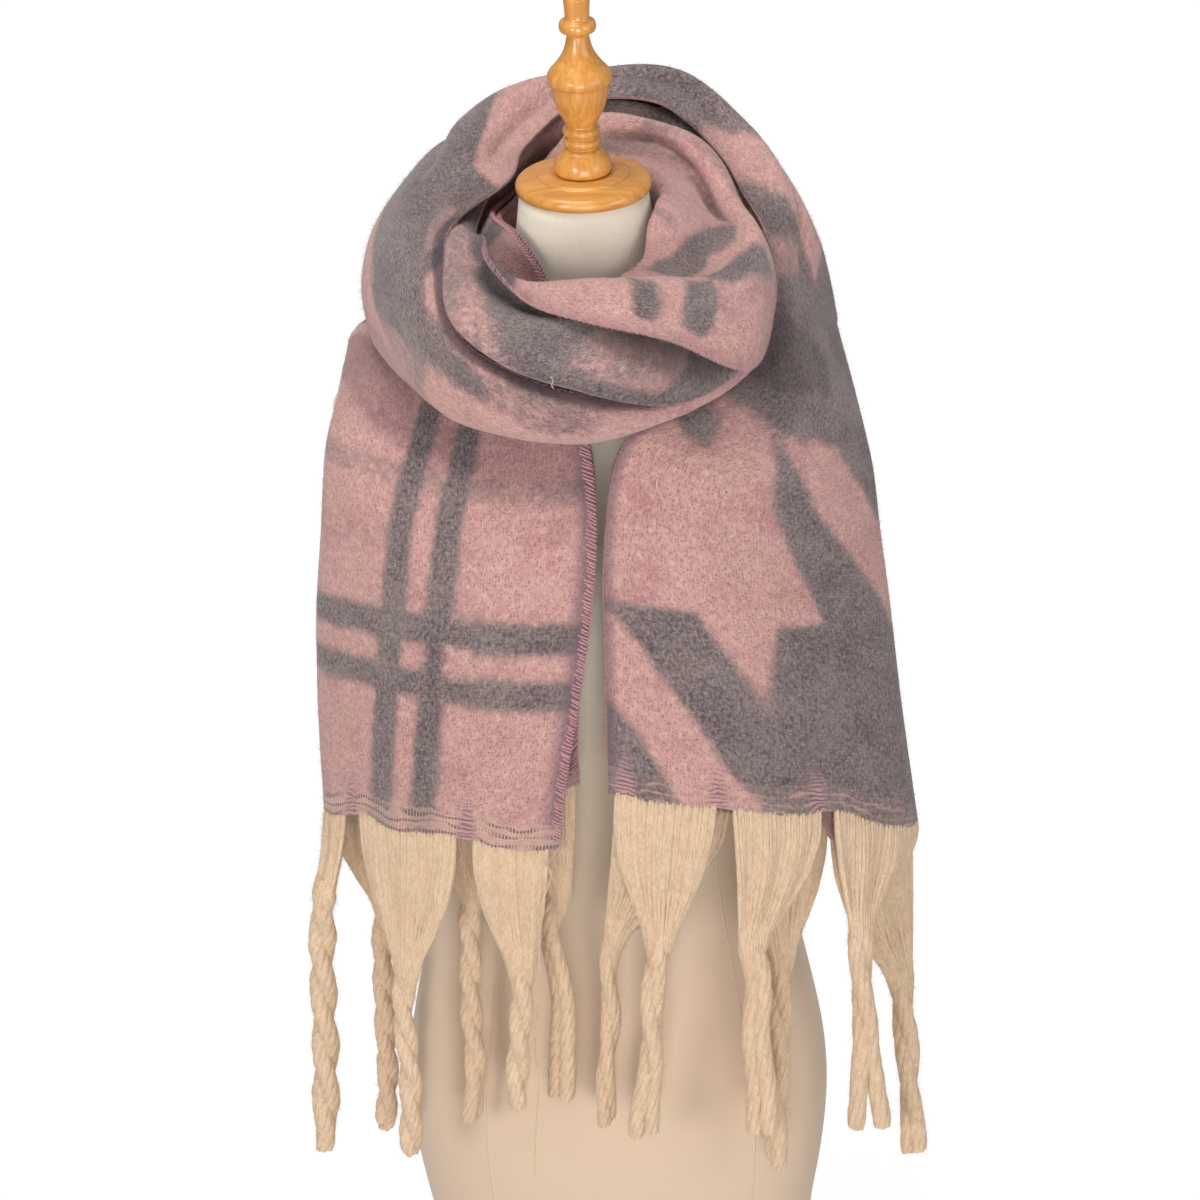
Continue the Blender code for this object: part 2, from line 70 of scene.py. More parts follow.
LAMPS = {
    # place, what it points at, size, power and tint
    "key": ((-2.1, -3.4, 1.6), (0.0, 0.0, 0.6), 1.4, 58.0, (1.0, 0.985, 0.965)),
    "front": ((0.2, -4.0, 0.45), (0.0, 0.0, 0.45), 1.9, 78.0, (1.0, 0.99, 0.98)),
    "side": ((2.7, -1.9, 1.4), (0.0, 0.0, 0.6), 2.0, 26.0, (0.97, 0.985, 1.0)),
    "overhead": ((-0.5, -0.2, 3.4), (0.0, 0.0, 0.8), 1.5, 44.0, (1.0, 1.0, 1.0)),
    "rear": ((0.6, 2.4, 3.2), (0.0, 0.0, 0.7), 2.0, 26.0, (1.0, 1.0, 1.0)),
    "back": ((-0.5, 3.9, 0.9), (0.0, 0.0, 0.5), 2.2, 42.0, (1.0, 1.0, 1.0)),
}
UNREFLECTED = {"rear", "back"}  # lamps that throw no glint on the varnish
for name, (place, at, size, power, tint) in LAMPS.items():
    lamp_data = bpy.data.lights.new(name, "AREA")
    lamp_data.shape = "DISK"
    lamp_data.size = size
    lamp_data.energy = power
    lamp_data.color = tint
    lamp = bpy.data.objects.new(name, lamp_data)
    aim = Vector(at) - Vector(place)
    lamp.matrix_world = Matrix.Translation(place) @ aim.to_track_quat("-Z", "Y").to_matrix().to_4x4()
    lamp.visible_glossy = name not in UNREFLECTED
    bpy.context.scene.collection.objects.link(lamp)

world = bpy.data.worlds.new("studio")
world.use_nodes = True
world_nodes = world.node_tree.nodes
world_links = world.node_tree.links
world_nodes["Background"].inputs["Color"].default_value = WHITE
# seen directly the studio is white, and what falls on the form from all round is softer
world_ray = world_nodes.new("ShaderNodeLightPath")
world_level = world_nodes.new("ShaderNodeMapRange")
world_level.inputs["To Min"].default_value = STUDIO_LIGHT
world_level.inputs["To Max"].default_value = STUDIO_SEEN
world_links.new(world_ray.outputs["Is Camera Ray"], world_level.inputs["Value"])
world_links.new(world_level.outputs[0], world_nodes["Background"].inputs["Strength"])
bpy.context.scene.world = world

bm = bmesh.new()
bmesh.ops.create_grid(bm, x_segments=1, y_segments=1, size=FLOOR_HALF)
floor_mesh = bpy.data.meshes.new("floor")
bm.to_mesh(floor_mesh)
bm.free()
floor = bpy.data.objects.new("floor", floor_mesh)
bpy.context.scene.collection.objects.link(floor)
floor_finish = bpy.data.materials.new("pale floor")
floor_finish.use_nodes = True
floor_nodes = floor_finish.node_tree.nodes
floor_nodes["Principled BSDF"].inputs["Base Color"].default_value = FLOOR_GREY
floor_nodes["Principled BSDF"].inputs["Roughness"].default_value = 0.9
# seen directly the floor glows like a lit studio sweep, and it throws little light back up
floor_glow = floor_nodes.new("ShaderNodeEmission")
floor_glow.inputs["Strength"].default_value = FLOOR_GLOW
floor_ray = floor_nodes.new("ShaderNodeLightPath")
floor_mix = floor_nodes.new("ShaderNodeMixShader")
floor_share = floor_nodes.new("ShaderNodeMath")
floor_share.operation = "MULTIPLY"
floor_share.inputs[1].default_value = FLOOR_GLOW_SHARE
floor_links = floor_finish.node_tree.links
floor_links.new(floor_ray.outputs["Is Camera Ray"], floor_share.inputs[0])
floor_links.new(floor_share.outputs[0], floor_mix.inputs[0])
floor_links.new(floor_nodes["Principled BSDF"].outputs[0], floor_mix.inputs[1])
floor_links.new(floor_glow.outputs[0], floor_mix.inputs[2])
floor_links.new(floor_mix.outputs[0], floor_nodes["Material Output"].inputs["Surface"])
floor_mesh.materials.append(floor_finish)


# ---- The padded torso ------------------------------------------------------------------------
# A limbless body of foam under a linen cover, cut in panels that meet at princess seams, side
# seams and a seam down the back. It narrows to a neck that carries the wooden cap.
TORSO_RINGS = np.array(
    # height, half width, depth in front, depth behind, millimetres
    [
        (30, 122, 80, 88),
        (58, 137, 89, 99),
        (90, 143, 93, 105),
        (135, 151, 98, 111),
        (180, 155, 100, 114),
        (230, 152, 99, 112),
        (300, 139, 93, 100),
        (360, 126, 86, 86),
        (420, 119, 82, 78),
        (480, 122, 90, 84),
        (540, 130, 106, 92),
        (600, 139, 120, 100),
        (645, 148, 119, 104),
        (690, 162, 106, 106),
        (720, 177, 90, 103),
        (743, 183, 74, 93),
        (757, 164, 66, 86),
        (770, 134, 60, 78),
        (783, 107, 56, 71),
        (797, 83, 53, 64),
        (812, 67, 50, 57),
        (831, 57, 48, 52),
        (860, 50, 46, 48),
        (897, 45, 44, 45),
    ],
    dtype=float,
)
TORSO_SQUARENESS = 2.25
TORSO_AROUND = 144
TORSO_STEPS = 5  # rings between two rows of the table
SEAM_RADIUS = 0.0009
SEAM_SUNK = 0.35  # how much of its radius a seam lies under the cover
SEAM_BOTTOM = 4
SEAM_TOP = 93  # the ring at which the seams run in under the neck band
SEAM_TURNS = (-0.352, -0.148, 0.0, 0.14, 0.25, 0.36, 0.5)  # of a whole turn, from the right-hand side


def smooth_through(points, at):
    """Points of a smooth curve through rows of an array, at places counted in rows."""
    points = np.asarray(points, dtype=float)
    padded = np.concatenate([2 * points[:1] - points[1:2], points, 2 * points[-1:] - points[-2:-1]])
    start = np.minimum(np.asarray(at, dtype=float).astype(int), len(points) - 2)
    part = (at - start).reshape((-1,) + (1,) * (points.ndim - 1))
    p0, p1, p2, p3 = (padded[start + k] for k in range(4))
    return 0.5 * (
        2 * p1
        + (p2 - p0) * part
        + (2 * p0 - 5 * p1 + 4 * p2 - p3) * part**2
        + (3 * p1 - p0 - 3 * p2 + p3) * part**3
    )


def rows_between(points, steps):
    """Places along rows of an array, with so many steps from each row to the next."""
    return np.linspace(0, len(points) - 1, (len(points) - 1) * steps + 1)


def torso_point(ring, turn, swell=0.0):
    """A point of the cover, in metres. turn is counted in whole turns from +X towards +Y."""
    z, half, front, rear = ring * 0.001
    cosine, sine = math.cos(math.tau * turn), math.sin(math.tau * turn)
    power = 2 / TORSO_SQUARENESS
    depth = rear if sine > 0 else front
    x = (half + swell) * math.copysign(abs(cosine) ** power, cosine)
    y = (depth + swell) * math.copysign(abs(sine) ** power, sine)
    return Vector((x, y, z))


def turn_of(vert):
    """The direction of a vertex round the middle, from 0 to two pi."""
    return math.atan2(vert.co.y, vert.co.x) % math.tau


def finished(name, bm, materials, replaced=()):
    """Links a mesh as a piece that rides on the part, with its materials and the nodes it stands for."""
    mesh = bpy.data.meshes.new(name)
    bm.to_mesh(mesh)
    bm.free()
    return placed(name, mesh, materials, replaced)


def placed(name, mesh, materials, replaced=()):
    """The same for a mesh that is already made."""
    piece = bpy.data.objects.new(name, mesh)
    bpy.context.scene.collection.objects.link(piece)
    mesh.shade_smooth()
    for finish in materials:
        mesh.materials.append(finish)
    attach(piece, "root")
    if replaced:
        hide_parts(*replaced)
    return piece


def new_finish(name, roughness, **values):
    """A Principled material and its shader, with the constant values set on the shader's sockets."""
    finish = bpy.data.materials.new(name)
    finish.use_nodes = True
    shader = finish.node_tree.nodes["Principled BSDF"]
    shader.inputs["Roughness"].default_value = roughness
    for socket, value in values.items():
        shader.inputs[socket.replace("_", " ")].default_value = value
    return finish, finish.node_tree, shader


def add_node(tree, kind, links=(), **settings):
    """A node with its settings; links are (input, output socket or value)."""
    node = tree.nodes.new("ShaderNode" + kind)
    for key, value in settings.items():
        setattr(node, key, value)
    for socket, source in links:
        target = node.inputs[socket]
        if isinstance(source, bpy.types.NodeSocket):
            tree.links.new(source, target)
        else:
            target.default_value = source
    return node


def colour_between(tree, share, low, high):
    """The colour that share mixes from two colours or colour sockets."""
    mix = add_node(tree, "Mix", data_type="RGBA")
    for index, source in ((0, share), (6, low), (7, high)):
        if isinstance(source, bpy.types.NodeSocket):
            tree.links.new(source, mix.inputs[index])
        else:
            mix.inputs[index].default_value = source
    return mix.outputs[2]


def maths(tree, operation, first, *others):
    """The result of Math nodes that take in one more value at a time."""
    for other in others:
        first = add_node(tree, "Math", ((0, first), (1, other)), operation=operation).outputs[0]
    return first


def swing(tree, value, size):
    """How far a value from 0 to 1 is from its middle, times size."""
    return maths(tree, "MULTIPLY", maths(tree, "SUBTRACT", value, 0.5), size)


def range_of(tree, value, low, high, to_low=0.0, to_high=1.0, smooth=True):
    """value mapped from low..high to to_low..to_high."""
    kind = "SMOOTHSTEP" if smooth else "LINEAR"
    ends = (("From Min", low), ("From Max", high), ("To Min", to_low), ("To Max", to_high))
    return add_node(tree, "MapRange", (("Value", value), *ends), interpolation_type=kind).outputs["Result"]


def scaled(tree, vector, scale):
    """A place, scaled along each axis."""
    return add_node(tree, "Mapping", (("Vector", vector), ("Scale", scale))).outputs["Vector"]


def noise_of(tree, place, scale, detail=2.0, distortion=0.0):
    """Soft noise from 0 to 1."""
    links = (("Vector", place), ("Scale", scale), ("Detail", detail), ("Distortion", distortion))
    return add_node(tree, "TexNoise", links).outputs["Fac"]


def drawn_noise(tree, place, scales, detail=2.0):
    """Soft noise drawn out along the axes where its scale is low."""
    return noise_of(tree, scaled(tree, place, scales), 1.0, detail)


def bumped(tree, shader, height, strength, distance):
    """Gives the shader a bump of that height, its distance in metres."""
    bump = add_node(tree, "Bump", (("Height", height), ("Strength", strength), ("Distance", distance)))
    tree.links.new(bump.outputs["Normal"], shader.inputs["Normal"])


LINEN_PALE = (0.84, 0.765, 0.640, 1.0)
LINEN_DEEP = (0.77, 0.690, 0.565, 1.0)
LINEN_TAN = (0.68, 0.515, 0.375, 1.0)
LINEN_BAND = 0.018  # metres from one soft band of the cover to the next
LINEN_TAN_HEIGHTS = (0.60, 0.26)  # the heights between which the cover turns tan, going down

linen, tree, shader = new_finish("linen cover", 0.88, Sheen_Weight=0.25, Sheen_Roughness=0.5)
where = add_node(tree, "TexCoord").outputs["Object"]
bands = []
for direction in ("X", "Z"):
    # a Wave texture turns once in 2 pi / 20 units
    links = (("Vector", where), ("Scale", math.tau / 20 / LINEN_BAND), ("Distortion", 1.2))
    bands.append(add_node(tree, "TexWave", links, bands_direction=direction).outputs["Fac"])
uneven = maths(tree, "MAXIMUM", *bands)
slubs_up = drawn_noise(tree, where, (900, 900, 40))
slubs_across = drawn_noise(tree, where, (40, 40, 900))
slubs = maths(tree, "ADD", slubs_up, slubs_across)
tone = range_of(tree, maths(tree, "ADD", slubs, noise_of(tree, where, 9.0, 3.0)), 0.9, 2.0)
base = colour_between(tree, tone, LINEN_DEEP, LINEN_PALE)
upright = add_node(tree, "SeparateXYZ", (("Vector", where),)).outputs["Z"]
base = colour_between(tree, range_of(tree, upright, *LINEN_TAN_HEIGHTS), base, LINEN_TAN)
tree.links.new(base, shader.inputs["Base Color"])
bumped(tree, shader, maths(tree, "ADD", maths(tree, "MULTIPLY", uneven, 0.6), slubs), 0.2, 0.0003)

rings = smooth_through(TORSO_RINGS, rows_between(TORSO_RINGS, TORSO_STEPS))
bm = bmesh.new()
loop = bmesh.ops.create_circle(bm, cap_ends=True, segments=TORSO_AROUND, radius=1.0)["verts"]
edges = list(bm.edges)
around = sorted(loop, key=turn_of)
for k, vert in enumerate(around):
    vert.co = torso_point(rings[0], k / TORSO_AROUND)
for ring in rings[1:]:
    raised = bmesh.ops.extrude_edge_only(bm, edges=edges)["geom"]
    edges = [item for item in raised if isinstance(item, bmesh.types.BMEdge)]
    around = [item for item in raised if isinstance(item, bmesh.types.BMVert)]
    around.sort(key=turn_of)
    for k, vert in enumerate(around):
        vert.co = torso_point(ring, k / TORSO_AROUND)
bmesh.ops.holes_fill(bm, edges=edges, sides=0)
bmesh.ops.recalc_face_normals(bm, faces=bm.faces)
torso = finished("torso_cover", bm, [linen], ("form_body",))


def piped_lines(name, lines, radius, materials, resolution=1, replaced=(), radii=None):
    """Thin round lines through lists of points, as one mesh."""
    curve = bpy.data.curves.new(name, "CURVE")
    curve.dimensions = "3D"
    curve.bevel_depth = radius
    curve.bevel_resolution = resolution
    curve.use_fill_caps = True
    for n, line in enumerate(lines):
        spline = curve.splines.new("POLY")
        spline.points.add(len(line) - 1)
        flat = np.ones((len(line), 4))
        flat[:, :3] = line
        spline.points.foreach_set("co", flat.ravel())
        if radii is not None:
            spline.points.foreach_set("radius", radii[n])
    holder = bpy.data.objects.new(name, curve)
    mesh = bpy.data.meshes.new_from_object(holder)
    bpy.data.objects.remove(holder)
    bpy.data.curves.remove(curve)
    mesh.name = name
    return placed(name, mesh, materials, replaced)


seam_rings = rings[SEAM_BOTTOM:SEAM_TOP]
seams = [[torso_point(ring, turn, -SEAM_SUNK * SEAM_RADIUS) for ring in seam_rings] for turn in SEAM_TURNS]
piped_lines("torso_seams", seams, SEAM_RADIUS, [linen])


# ---- Neck cap, finial and foot ---------------------------------------------------------------
# Three beech pieces turned on a lathe and varnished a honey colour: a moulded cap on the neck, a
# baluster finial screwed into it, and a plain foot under the torso.
TURNED = {
    # radius and height of each point of the profile, millimetres, from the bottom up
    "neck_cap": (
        (43, 897.4), (46.5, 898.6), (47.8, 902), (46.6, 905.6), (43, 907.6), (33, 909.2), (31.5, 911),
        (24, 912.2), (22, 911.6),
    ),
    "finial": (
        (19.6, 912.0), (20.2, 915), (19, 921), (14.5, 928), (10.8, 930.2), (12.9, 932.8), (12.9, 936.0),
        (10.6, 938.4), (12.9, 940.8), (12.9, 944), (10.4, 946.6), (12.2, 950), (16.6, 959), (19.6, 969),
        (20.4, 977), (22.4, 978.6), (22.8, 982.5), (21.2, 986.6), (15.8, 993), (10.8, 1001), (8.3, 1010),
        (8.2, 1014), (12.2, 1016), (13.1, 1019.5), (12.0, 1023), (9.0, 1025), (8.9, 1032), (9.4, 1040),
        (8.6, 1041),
    ),
    "form_foot": ((112, 0), (118, 5), (118, 22), (110, 29.7)),
}
LATHE_STEPS = 96
PROFILE_STEPS = {"neck_cap": 5, "finial": 4, "form_foot": 6}
HONEY = (0.74, 0.345, 0.078, 1.0)
AMBER = (0.61, 0.250, 0.046, 1.0)
GRAIN_BROWN = (0.33, 0.11, 0.02, 1.0)


def varnished(name, grain_scale):
    """Honey varnish on beech: soft streaks along the grain, fine dark pores and a glossy coat."""
    finish, tree, shader = new_finish(name, 0.32, Coat_Weight=0.45, Coat_Roughness=0.14)
    where = add_node(tree, "TexCoord").outputs["Object"]
    along = scaled(tree, where, grain_scale)
    streaks = noise_of(tree, along, 1.0, 4.0, 0.6)
    pores = noise_of(tree, scaled(tree, along, (4, 4, 4)), 2.0)
    base = colour_between(tree, range_of(tree, streaks, 0.35, 0.68), AMBER, HONEY)
    base = colour_between(tree, range_of(tree, pores, 0.66, 0.80, 0.0, 0.35), base, GRAIN_BROWN)
    tree.links.new(base, shader.inputs["Base Color"])
    rough = range_of(tree, noise_of(tree, where, 30.0), 0.3, 0.7, 0.24, 0.42)
    tree.links.new(rough, shader.inputs["Roughness"])
    bumped(tree, shader, streaks, 0.08, 0.0006)
    return finish


upright_grain = varnished("varnished beech, grain upright", (260, 260, 18))
flat_grain = varnished("varnished beech, grain across", (16, 240, 240))

for name, profile in TURNED.items():
    line = smooth_through(profile, rows_between(profile, PROFILE_STEPS[name])) * 0.001
    bm = bmesh.new()
    verts = [bm.verts.new((radius, 0.0, z)) for radius, z in line]
    edges = [bm.edges.new(pair) for pair in zip(verts, verts[1:])]
    bmesh.ops.spin(
        bm,
        geom=verts + edges,
        cent=(0, 0, 0),
        axis=(0, 0, 1),
        angle=math.tau,
        steps=LATHE_STEPS,
        use_merge=True,
    )
    bmesh.ops.holes_fill(bm, edges=bm.edges, sides=0)
    bmesh.ops.recalc_face_normals(bm, faces=bm.faces)
    grain = upright_grain if name == "finial" else flat_grain
    finished(name + "_turned", bm, [grain], (name,))


# ---- The scarf's cloth -----------------------------------------------------------------------
# One long brushed cloth, folded in half along its length and wound once round the neck. Each
# section across it runs from one cut edge down to the fold and up to the other cut edge.
CLOTH_WIDE = 0.45
CLOTH_THICK = 0.0027
CHART_WIDE = 460.0  # the chart's units across the cloth
CLOTH_COLUMNS = 112
CLOTH_ROW = 5.0  # millimetres from one row of the mesh to the next
FINE_POINTS = 521  # across a section, before the columns are spread evenly on it

# Lying sections, millimetres: the outer layer's cut edge, its middle and the fold, and how far
# behind it the inner layer lies.
LEFT_LYING = (
    (-37, -150, 449, -125, -138, 450, -209, -62, 450, 12),
    (-28, -158, 520, -120, -144, 520, -209, -60, 520, 11),
    (-12, -160, 610, -112, -146, 605, -206, -58, 600, 10),
    (-2, -156, 690, -102, -138, 680, -199, -54, 668, 10),
    (-2, -134, 748, -98, -112, 735, -192, -50, 728, 9),
    (-14, -98, 803, -105, -76, 777, -180, -22, 766, 9),
    (-29, -63, 853, -112, -38, 802, -174, 8, 779, 7),
    (-49, -37, 880, -112, 5, 810, -168, 40, 783, 5),
    (-64, 12, 876, -108, 42, 812, -150, 72, 782, 5),
)
RIGHT_LYING = (
    (125, -6, 864, 153, -6, 831, 177, 12, 778, 5),
    (130, -20, 834, 158, -30, 796, 185, -12, 752, 5),
    (122, -47, 787, 157, -60, 765, 192, -38, 728, 6),
    (98, -80, 781, 147, -90, 748, 198, -46, 702, 7),
    (58, -112, 777, 133, -113, 731, 201, -50, 680, 8),
    (18, -143, 762, 112, -130, 709, 204, -51, 652, 9),
    (4, -156, 692, 107, -142, 646, 210, -52, 597, 10),
    (2, -158, 610, 108, -148, 570, 217, -55, 520, 11),
    (0, -160, 500, 112, -150, 456, 229, -60, 412, 12),
)
# Standing sections round the neck: the angle, 0 at the throat and 90 over the right shoulder, and
# then radius and height of the outer layer's edge, top, roll and fold, and of the inner layer's
# low point, chin, breast, nook, brow, shelf, crest and lip.
STANDING = (
    (-140, 84, 868, 97, 856, 112, 832, 122, 790,
     104, 792, 93, 804, 85, 817, 78, 832, 73, 846, 70, 856, 71, 865, 76, 870),
    (180, 96, 895, 102, 884, 107, 845, 104, 780,
     94, 790, 85, 803, 76, 822, 66, 850, 66, 880, 73, 896, 85, 914, 95, 905),
    (150, 103, 895, 107, 884, 111, 845, 108, 780,
     95, 790, 84, 804, 74, 822, 62, 848, 65, 888, 77, 897, 91, 916, 103, 905),
    (120, 108, 880, 113, 868, 118, 840, 115, 788,
     98, 796, 85, 808, 73, 824, 60, 846, 58, 892, 82, 890, 96, 909, 108, 896),
    (95, 107, 855, 112, 846, 117, 825, 116, 798,
     101, 802, 87, 811, 73, 824, 58, 845, 56, 893, 88, 875, 102, 886, 113, 870),
    (75, 114, 842, 120, 834, 124, 818, 121, 800,
     106, 804, 91, 811, 75, 824, 58, 845, 55, 890, 92, 868, 118, 879, 132, 858),
    (58, 121, 809, 130, 808, 138, 803, 131, 794,
     112, 799, 105, 808, 99, 824, 61, 842, 55, 884, 96, 862, 134, 868, 151, 838),
    (40, 135, 802, 141, 798, 143, 792, 136, 785,
     116, 793, 110, 803, 158, 812, 95, 838, 61, 866, 100, 858, 134, 867, 169, 812),
    (20, 146, 797, 152, 794, 152, 787, 144, 782,
     120, 789, 114, 801, 171, 803, 142, 834, 114, 850, 110, 866, 125, 877, 159, 844),
    (0, 156, 808, 167, 802, 170, 786, 150, 775,
     122, 787, 116, 802, 171, 818, 136, 848, 114, 856, 112, 868, 121, 879, 143, 857),
    (-20, 152, 821, 164, 816, 170, 790, 150, 776,
     122, 789, 116, 808, 164, 832, 130, 851, 110, 851, 106, 862, 112, 872, 122, 862),
    (-40, 142, 840, 157, 834, 164, 800, 150, 783,
     122, 796, 116, 815, 144, 848, 123, 863, 106, 858, 98, 864, 98, 873, 105, 879),
    (-62, 111, 876, 143, 864, 157, 824, 150, 798,
     125, 812, 117, 835, 112, 864, 105, 881, 96, 885, 90, 882, 85, 880, 79, 878),
    (-90, 86, 881, 129, 888, 155, 842, 150, 800,
     122, 824, 110, 845, 101, 862, 92, 872, 87, 875, 83, 874, 80, 871, 77, 868),
    (-120, 59, 896, 114, 909, 158, 858, 150, 799,
     124, 822, 113, 842, 102, 862, 93, 875, 88, 880, 84, 882, 80, 883, 76, 883),
    (-150, 80, 904, 130, 926, 162, 864, 146, 790,
     126, 816, 120, 838, 113, 858, 102, 875, 96, 884, 93, 889, 92, 894, 92, 899),
    (180, 102, 923, 137, 934, 161, 870, 142, 778,
     126, 808, 122, 835, 119, 862, 111, 888, 105, 903, 105, 912, 110, 919, 117, 912),
    (150, 111, 923, 143, 934, 160, 866, 144, 778,
     128, 808, 126, 835, 124, 862, 117, 886, 110, 900, 111, 909, 117, 915, 124, 907),
    (122, 112, 898, 144, 907, 163, 846, 156, 784,
     136, 808, 134, 830, 131, 850, 124, 868, 118, 879, 118, 888, 123, 894, 129, 888),
    (100, 114, 880, 145, 882, 167, 838, 172, 782,
     147, 808, 143, 823, 138, 838, 134, 850, 131, 858, 129, 864, 128, 869, 127, 874),
)
LEANING = (
    # beside the throat the inner layer has slid against the neck: angle, place in the section, radius
    # and height, without any change to the cloth's own lengths
    (20, 8, 128, 830), (20, 9, 64, 850), (20, 10, 92, 863),
)
HEM_SLIP = np.array((20.0, 0.0, 45.0))  # how far the left hem's inner layer has slipped at its cut edge
OUTER_SHARES = (0.0, 0.30, 0.62, 0.90)
INNER_SHARES = (0.90, 0.72, 0.56, 0.42, 0.30, 0.20, 0.12, 0.05, 0.0)


def lying_wall(row, share):
    """A point of the outer layer, on the curve through the row's edge, middle and fold."""
    edge, middle, fold = row[0:3], row[3:6], row[6:9]
    return (
        edge * (1 - share) * (1 - 2 * share)
        + middle * 4 * share * (1 - share)
        + fold * share * (2 * share - 1)
    )


def lying_inward(rows, n, share):
    """The direction from the outer layer towards the form."""
    before, row, after = rows[max(n - 1, 0)], rows[n], rows[min(n + 1, len(rows) - 1)]
    along = lying_wall(after, share) - lying_wall(before, share)
    across = lying_wall(row, min(share + 0.05, 1)) - lying_wall(row, max(share - 0.05, 0))
    inward = np.cross(across, along)
    return inward / np.linalg.norm(inward)


def lying_section(rows, n):
    """The points across a lying section, from the outer cut edge round the fold to the inner one."""
    row, gap = rows[n], rows[n][9]
    outer = [lying_wall(row, share) for share in OUTER_SHARES]
    fold = lying_wall(row, 1.0) + lying_inward(rows, n, 0.95) * gap * 0.7
    inner = []
    for share in INNER_SHARES:
        inner.append(lying_wall(row, share) + lying_inward(rows, n, share) * gap * (1 + 0.4 * share))
    return outer + [fold] + inner


def standing_section(row):
    """The same for a standing section. The tip rounds the turn from the crest to the lip."""
    angle, pairs = math.radians(row[0]), np.array(row[1:], dtype=float).reshape(-1, 2)
    edge, top, roll, fold = pairs[:4]
    crest, lip = pairs[-2], pairs[-1]
    under = (0.4 * roll[0] + 0.6 * fold[0] + 3, 0.25 * roll[1] + 0.75 * fold[1])
    tip = (
        0.5 * (crest[0] + lip[0]) + 0.12 * (crest[1] - lip[1]),
        0.5 * (crest[1] + lip[1]) + 0.12 * (lip[0] - crest[0]),
    )
    section = [edge, top, roll, under, fold, *pairs[4:-1], tip, lip]
    way = (math.sin(angle), -math.cos(angle))
    return [np.array((radius * way[0], radius * way[1], height)) for radius, height in section]


left_rows = np.array(LEFT_LYING, dtype=float)
right_rows = np.array(RIGHT_LYING, dtype=float)
net = [lying_section(left_rows, n) for n in range(len(left_rows))]
net += [standing_section(row) for row in STANDING]
net += [lying_section(right_rows, n) for n in range(len(right_rows))]
net = np.array(net)
for n, part in ((0, 1.0), (1, 0.5)):
    net[n, 5:] += HEM_SLIP * part * (np.arange(1, 10) / 9)[:, None]

spans = np.linalg.norm(np.diff(net, axis=0), axis=2).mean(axis=1)
places = []
for n, span in enumerate(spans):
    rows_here = max(1, round(span / CLOTH_ROW))
    places.append(n + np.arange(rows_here) / rows_here)
places = np.append(np.concatenate(places), len(net) - 1.0)
shares = np.linspace(0, 1, CLOTH_COLUMNS + 1)


def walked_along(points):
    """How far along a line of points each one is."""
    return np.append(0.0, np.cumsum(np.linalg.norm(np.diff(points, axis=0), axis=1)))


def point_at(points, walked, far):
    """What a line of points or ways has at a length walked along it."""
    return np.array([np.interp(far, walked, points[:, axis]) for axis in range(3)])


def sections_through(net):
    """Sections a row's width apart, each of many points along the smooth curve across the cloth."""
    across = np.linspace(0, net.shape[1] - 1, FINE_POINTS)
    fine = smooth_through(net.transpose(1, 0, 2), across).transpose(1, 0, 2)
    return smooth_through(fine, places)


def spread_evenly(lengths, laid):
    """The mesh's columns, at even shares of the lengths of one set of sections, on another set."""
    grid = np.empty((len(places), CLOTH_COLUMNS + 1, 3))
    for n, row in enumerate(lengths):
        walked = walked_along(row)
        grid[n] = point_at(laid[n], walked, shares * walked[-1]).T
    return grid


cut = sections_through(net)
along_cloth = spread_evenly(cut, cut)
along_cloth = np.append(0.0, np.cumsum(np.linalg.norm(np.diff(along_cloth, axis=0), axis=2).mean(axis=1)))
angles = [row[0] for row in STANDING]
for angle, place, radius, height in LEANING:
    n = len(left_rows) + angles.index(angle)
    angle = math.radians(angle)
    net[n, place] = (radius * math.sin(angle), -radius * math.cos(angle), height)
middle = spread_evenly(cut, sections_through(net))
ROWS = len(places)
share_grid = np.broadcast_to(shares, (ROWS, CLOTH_COLUMNS + 1))
u_grid = share_grid * CHART_WIDE
v_grid = np.broadcast_to(along_cloth[:, None], share_grid.shape)


def grid_normals(points):
    """Unit normals on the cloth's face side, the side that shows on the hanging panels."""
    across = np.gradient(points, axis=1)
    along = np.gradient(points, axis=0)
    normals = np.cross(across, along)
    return normals / np.maximum(np.linalg.norm(normals, axis=2, keepdims=True), 1e-9)


def noise_over(u, v, scale, seed):
    """Smooth noise from -1 to 1 over cloth places in millimetres."""
    places = zip(u.ravel(), v.ravel())
    values = [noise.noise((across / scale, along / scale, seed)) for across, along in places]
    return np.array(values).reshape(u.shape)


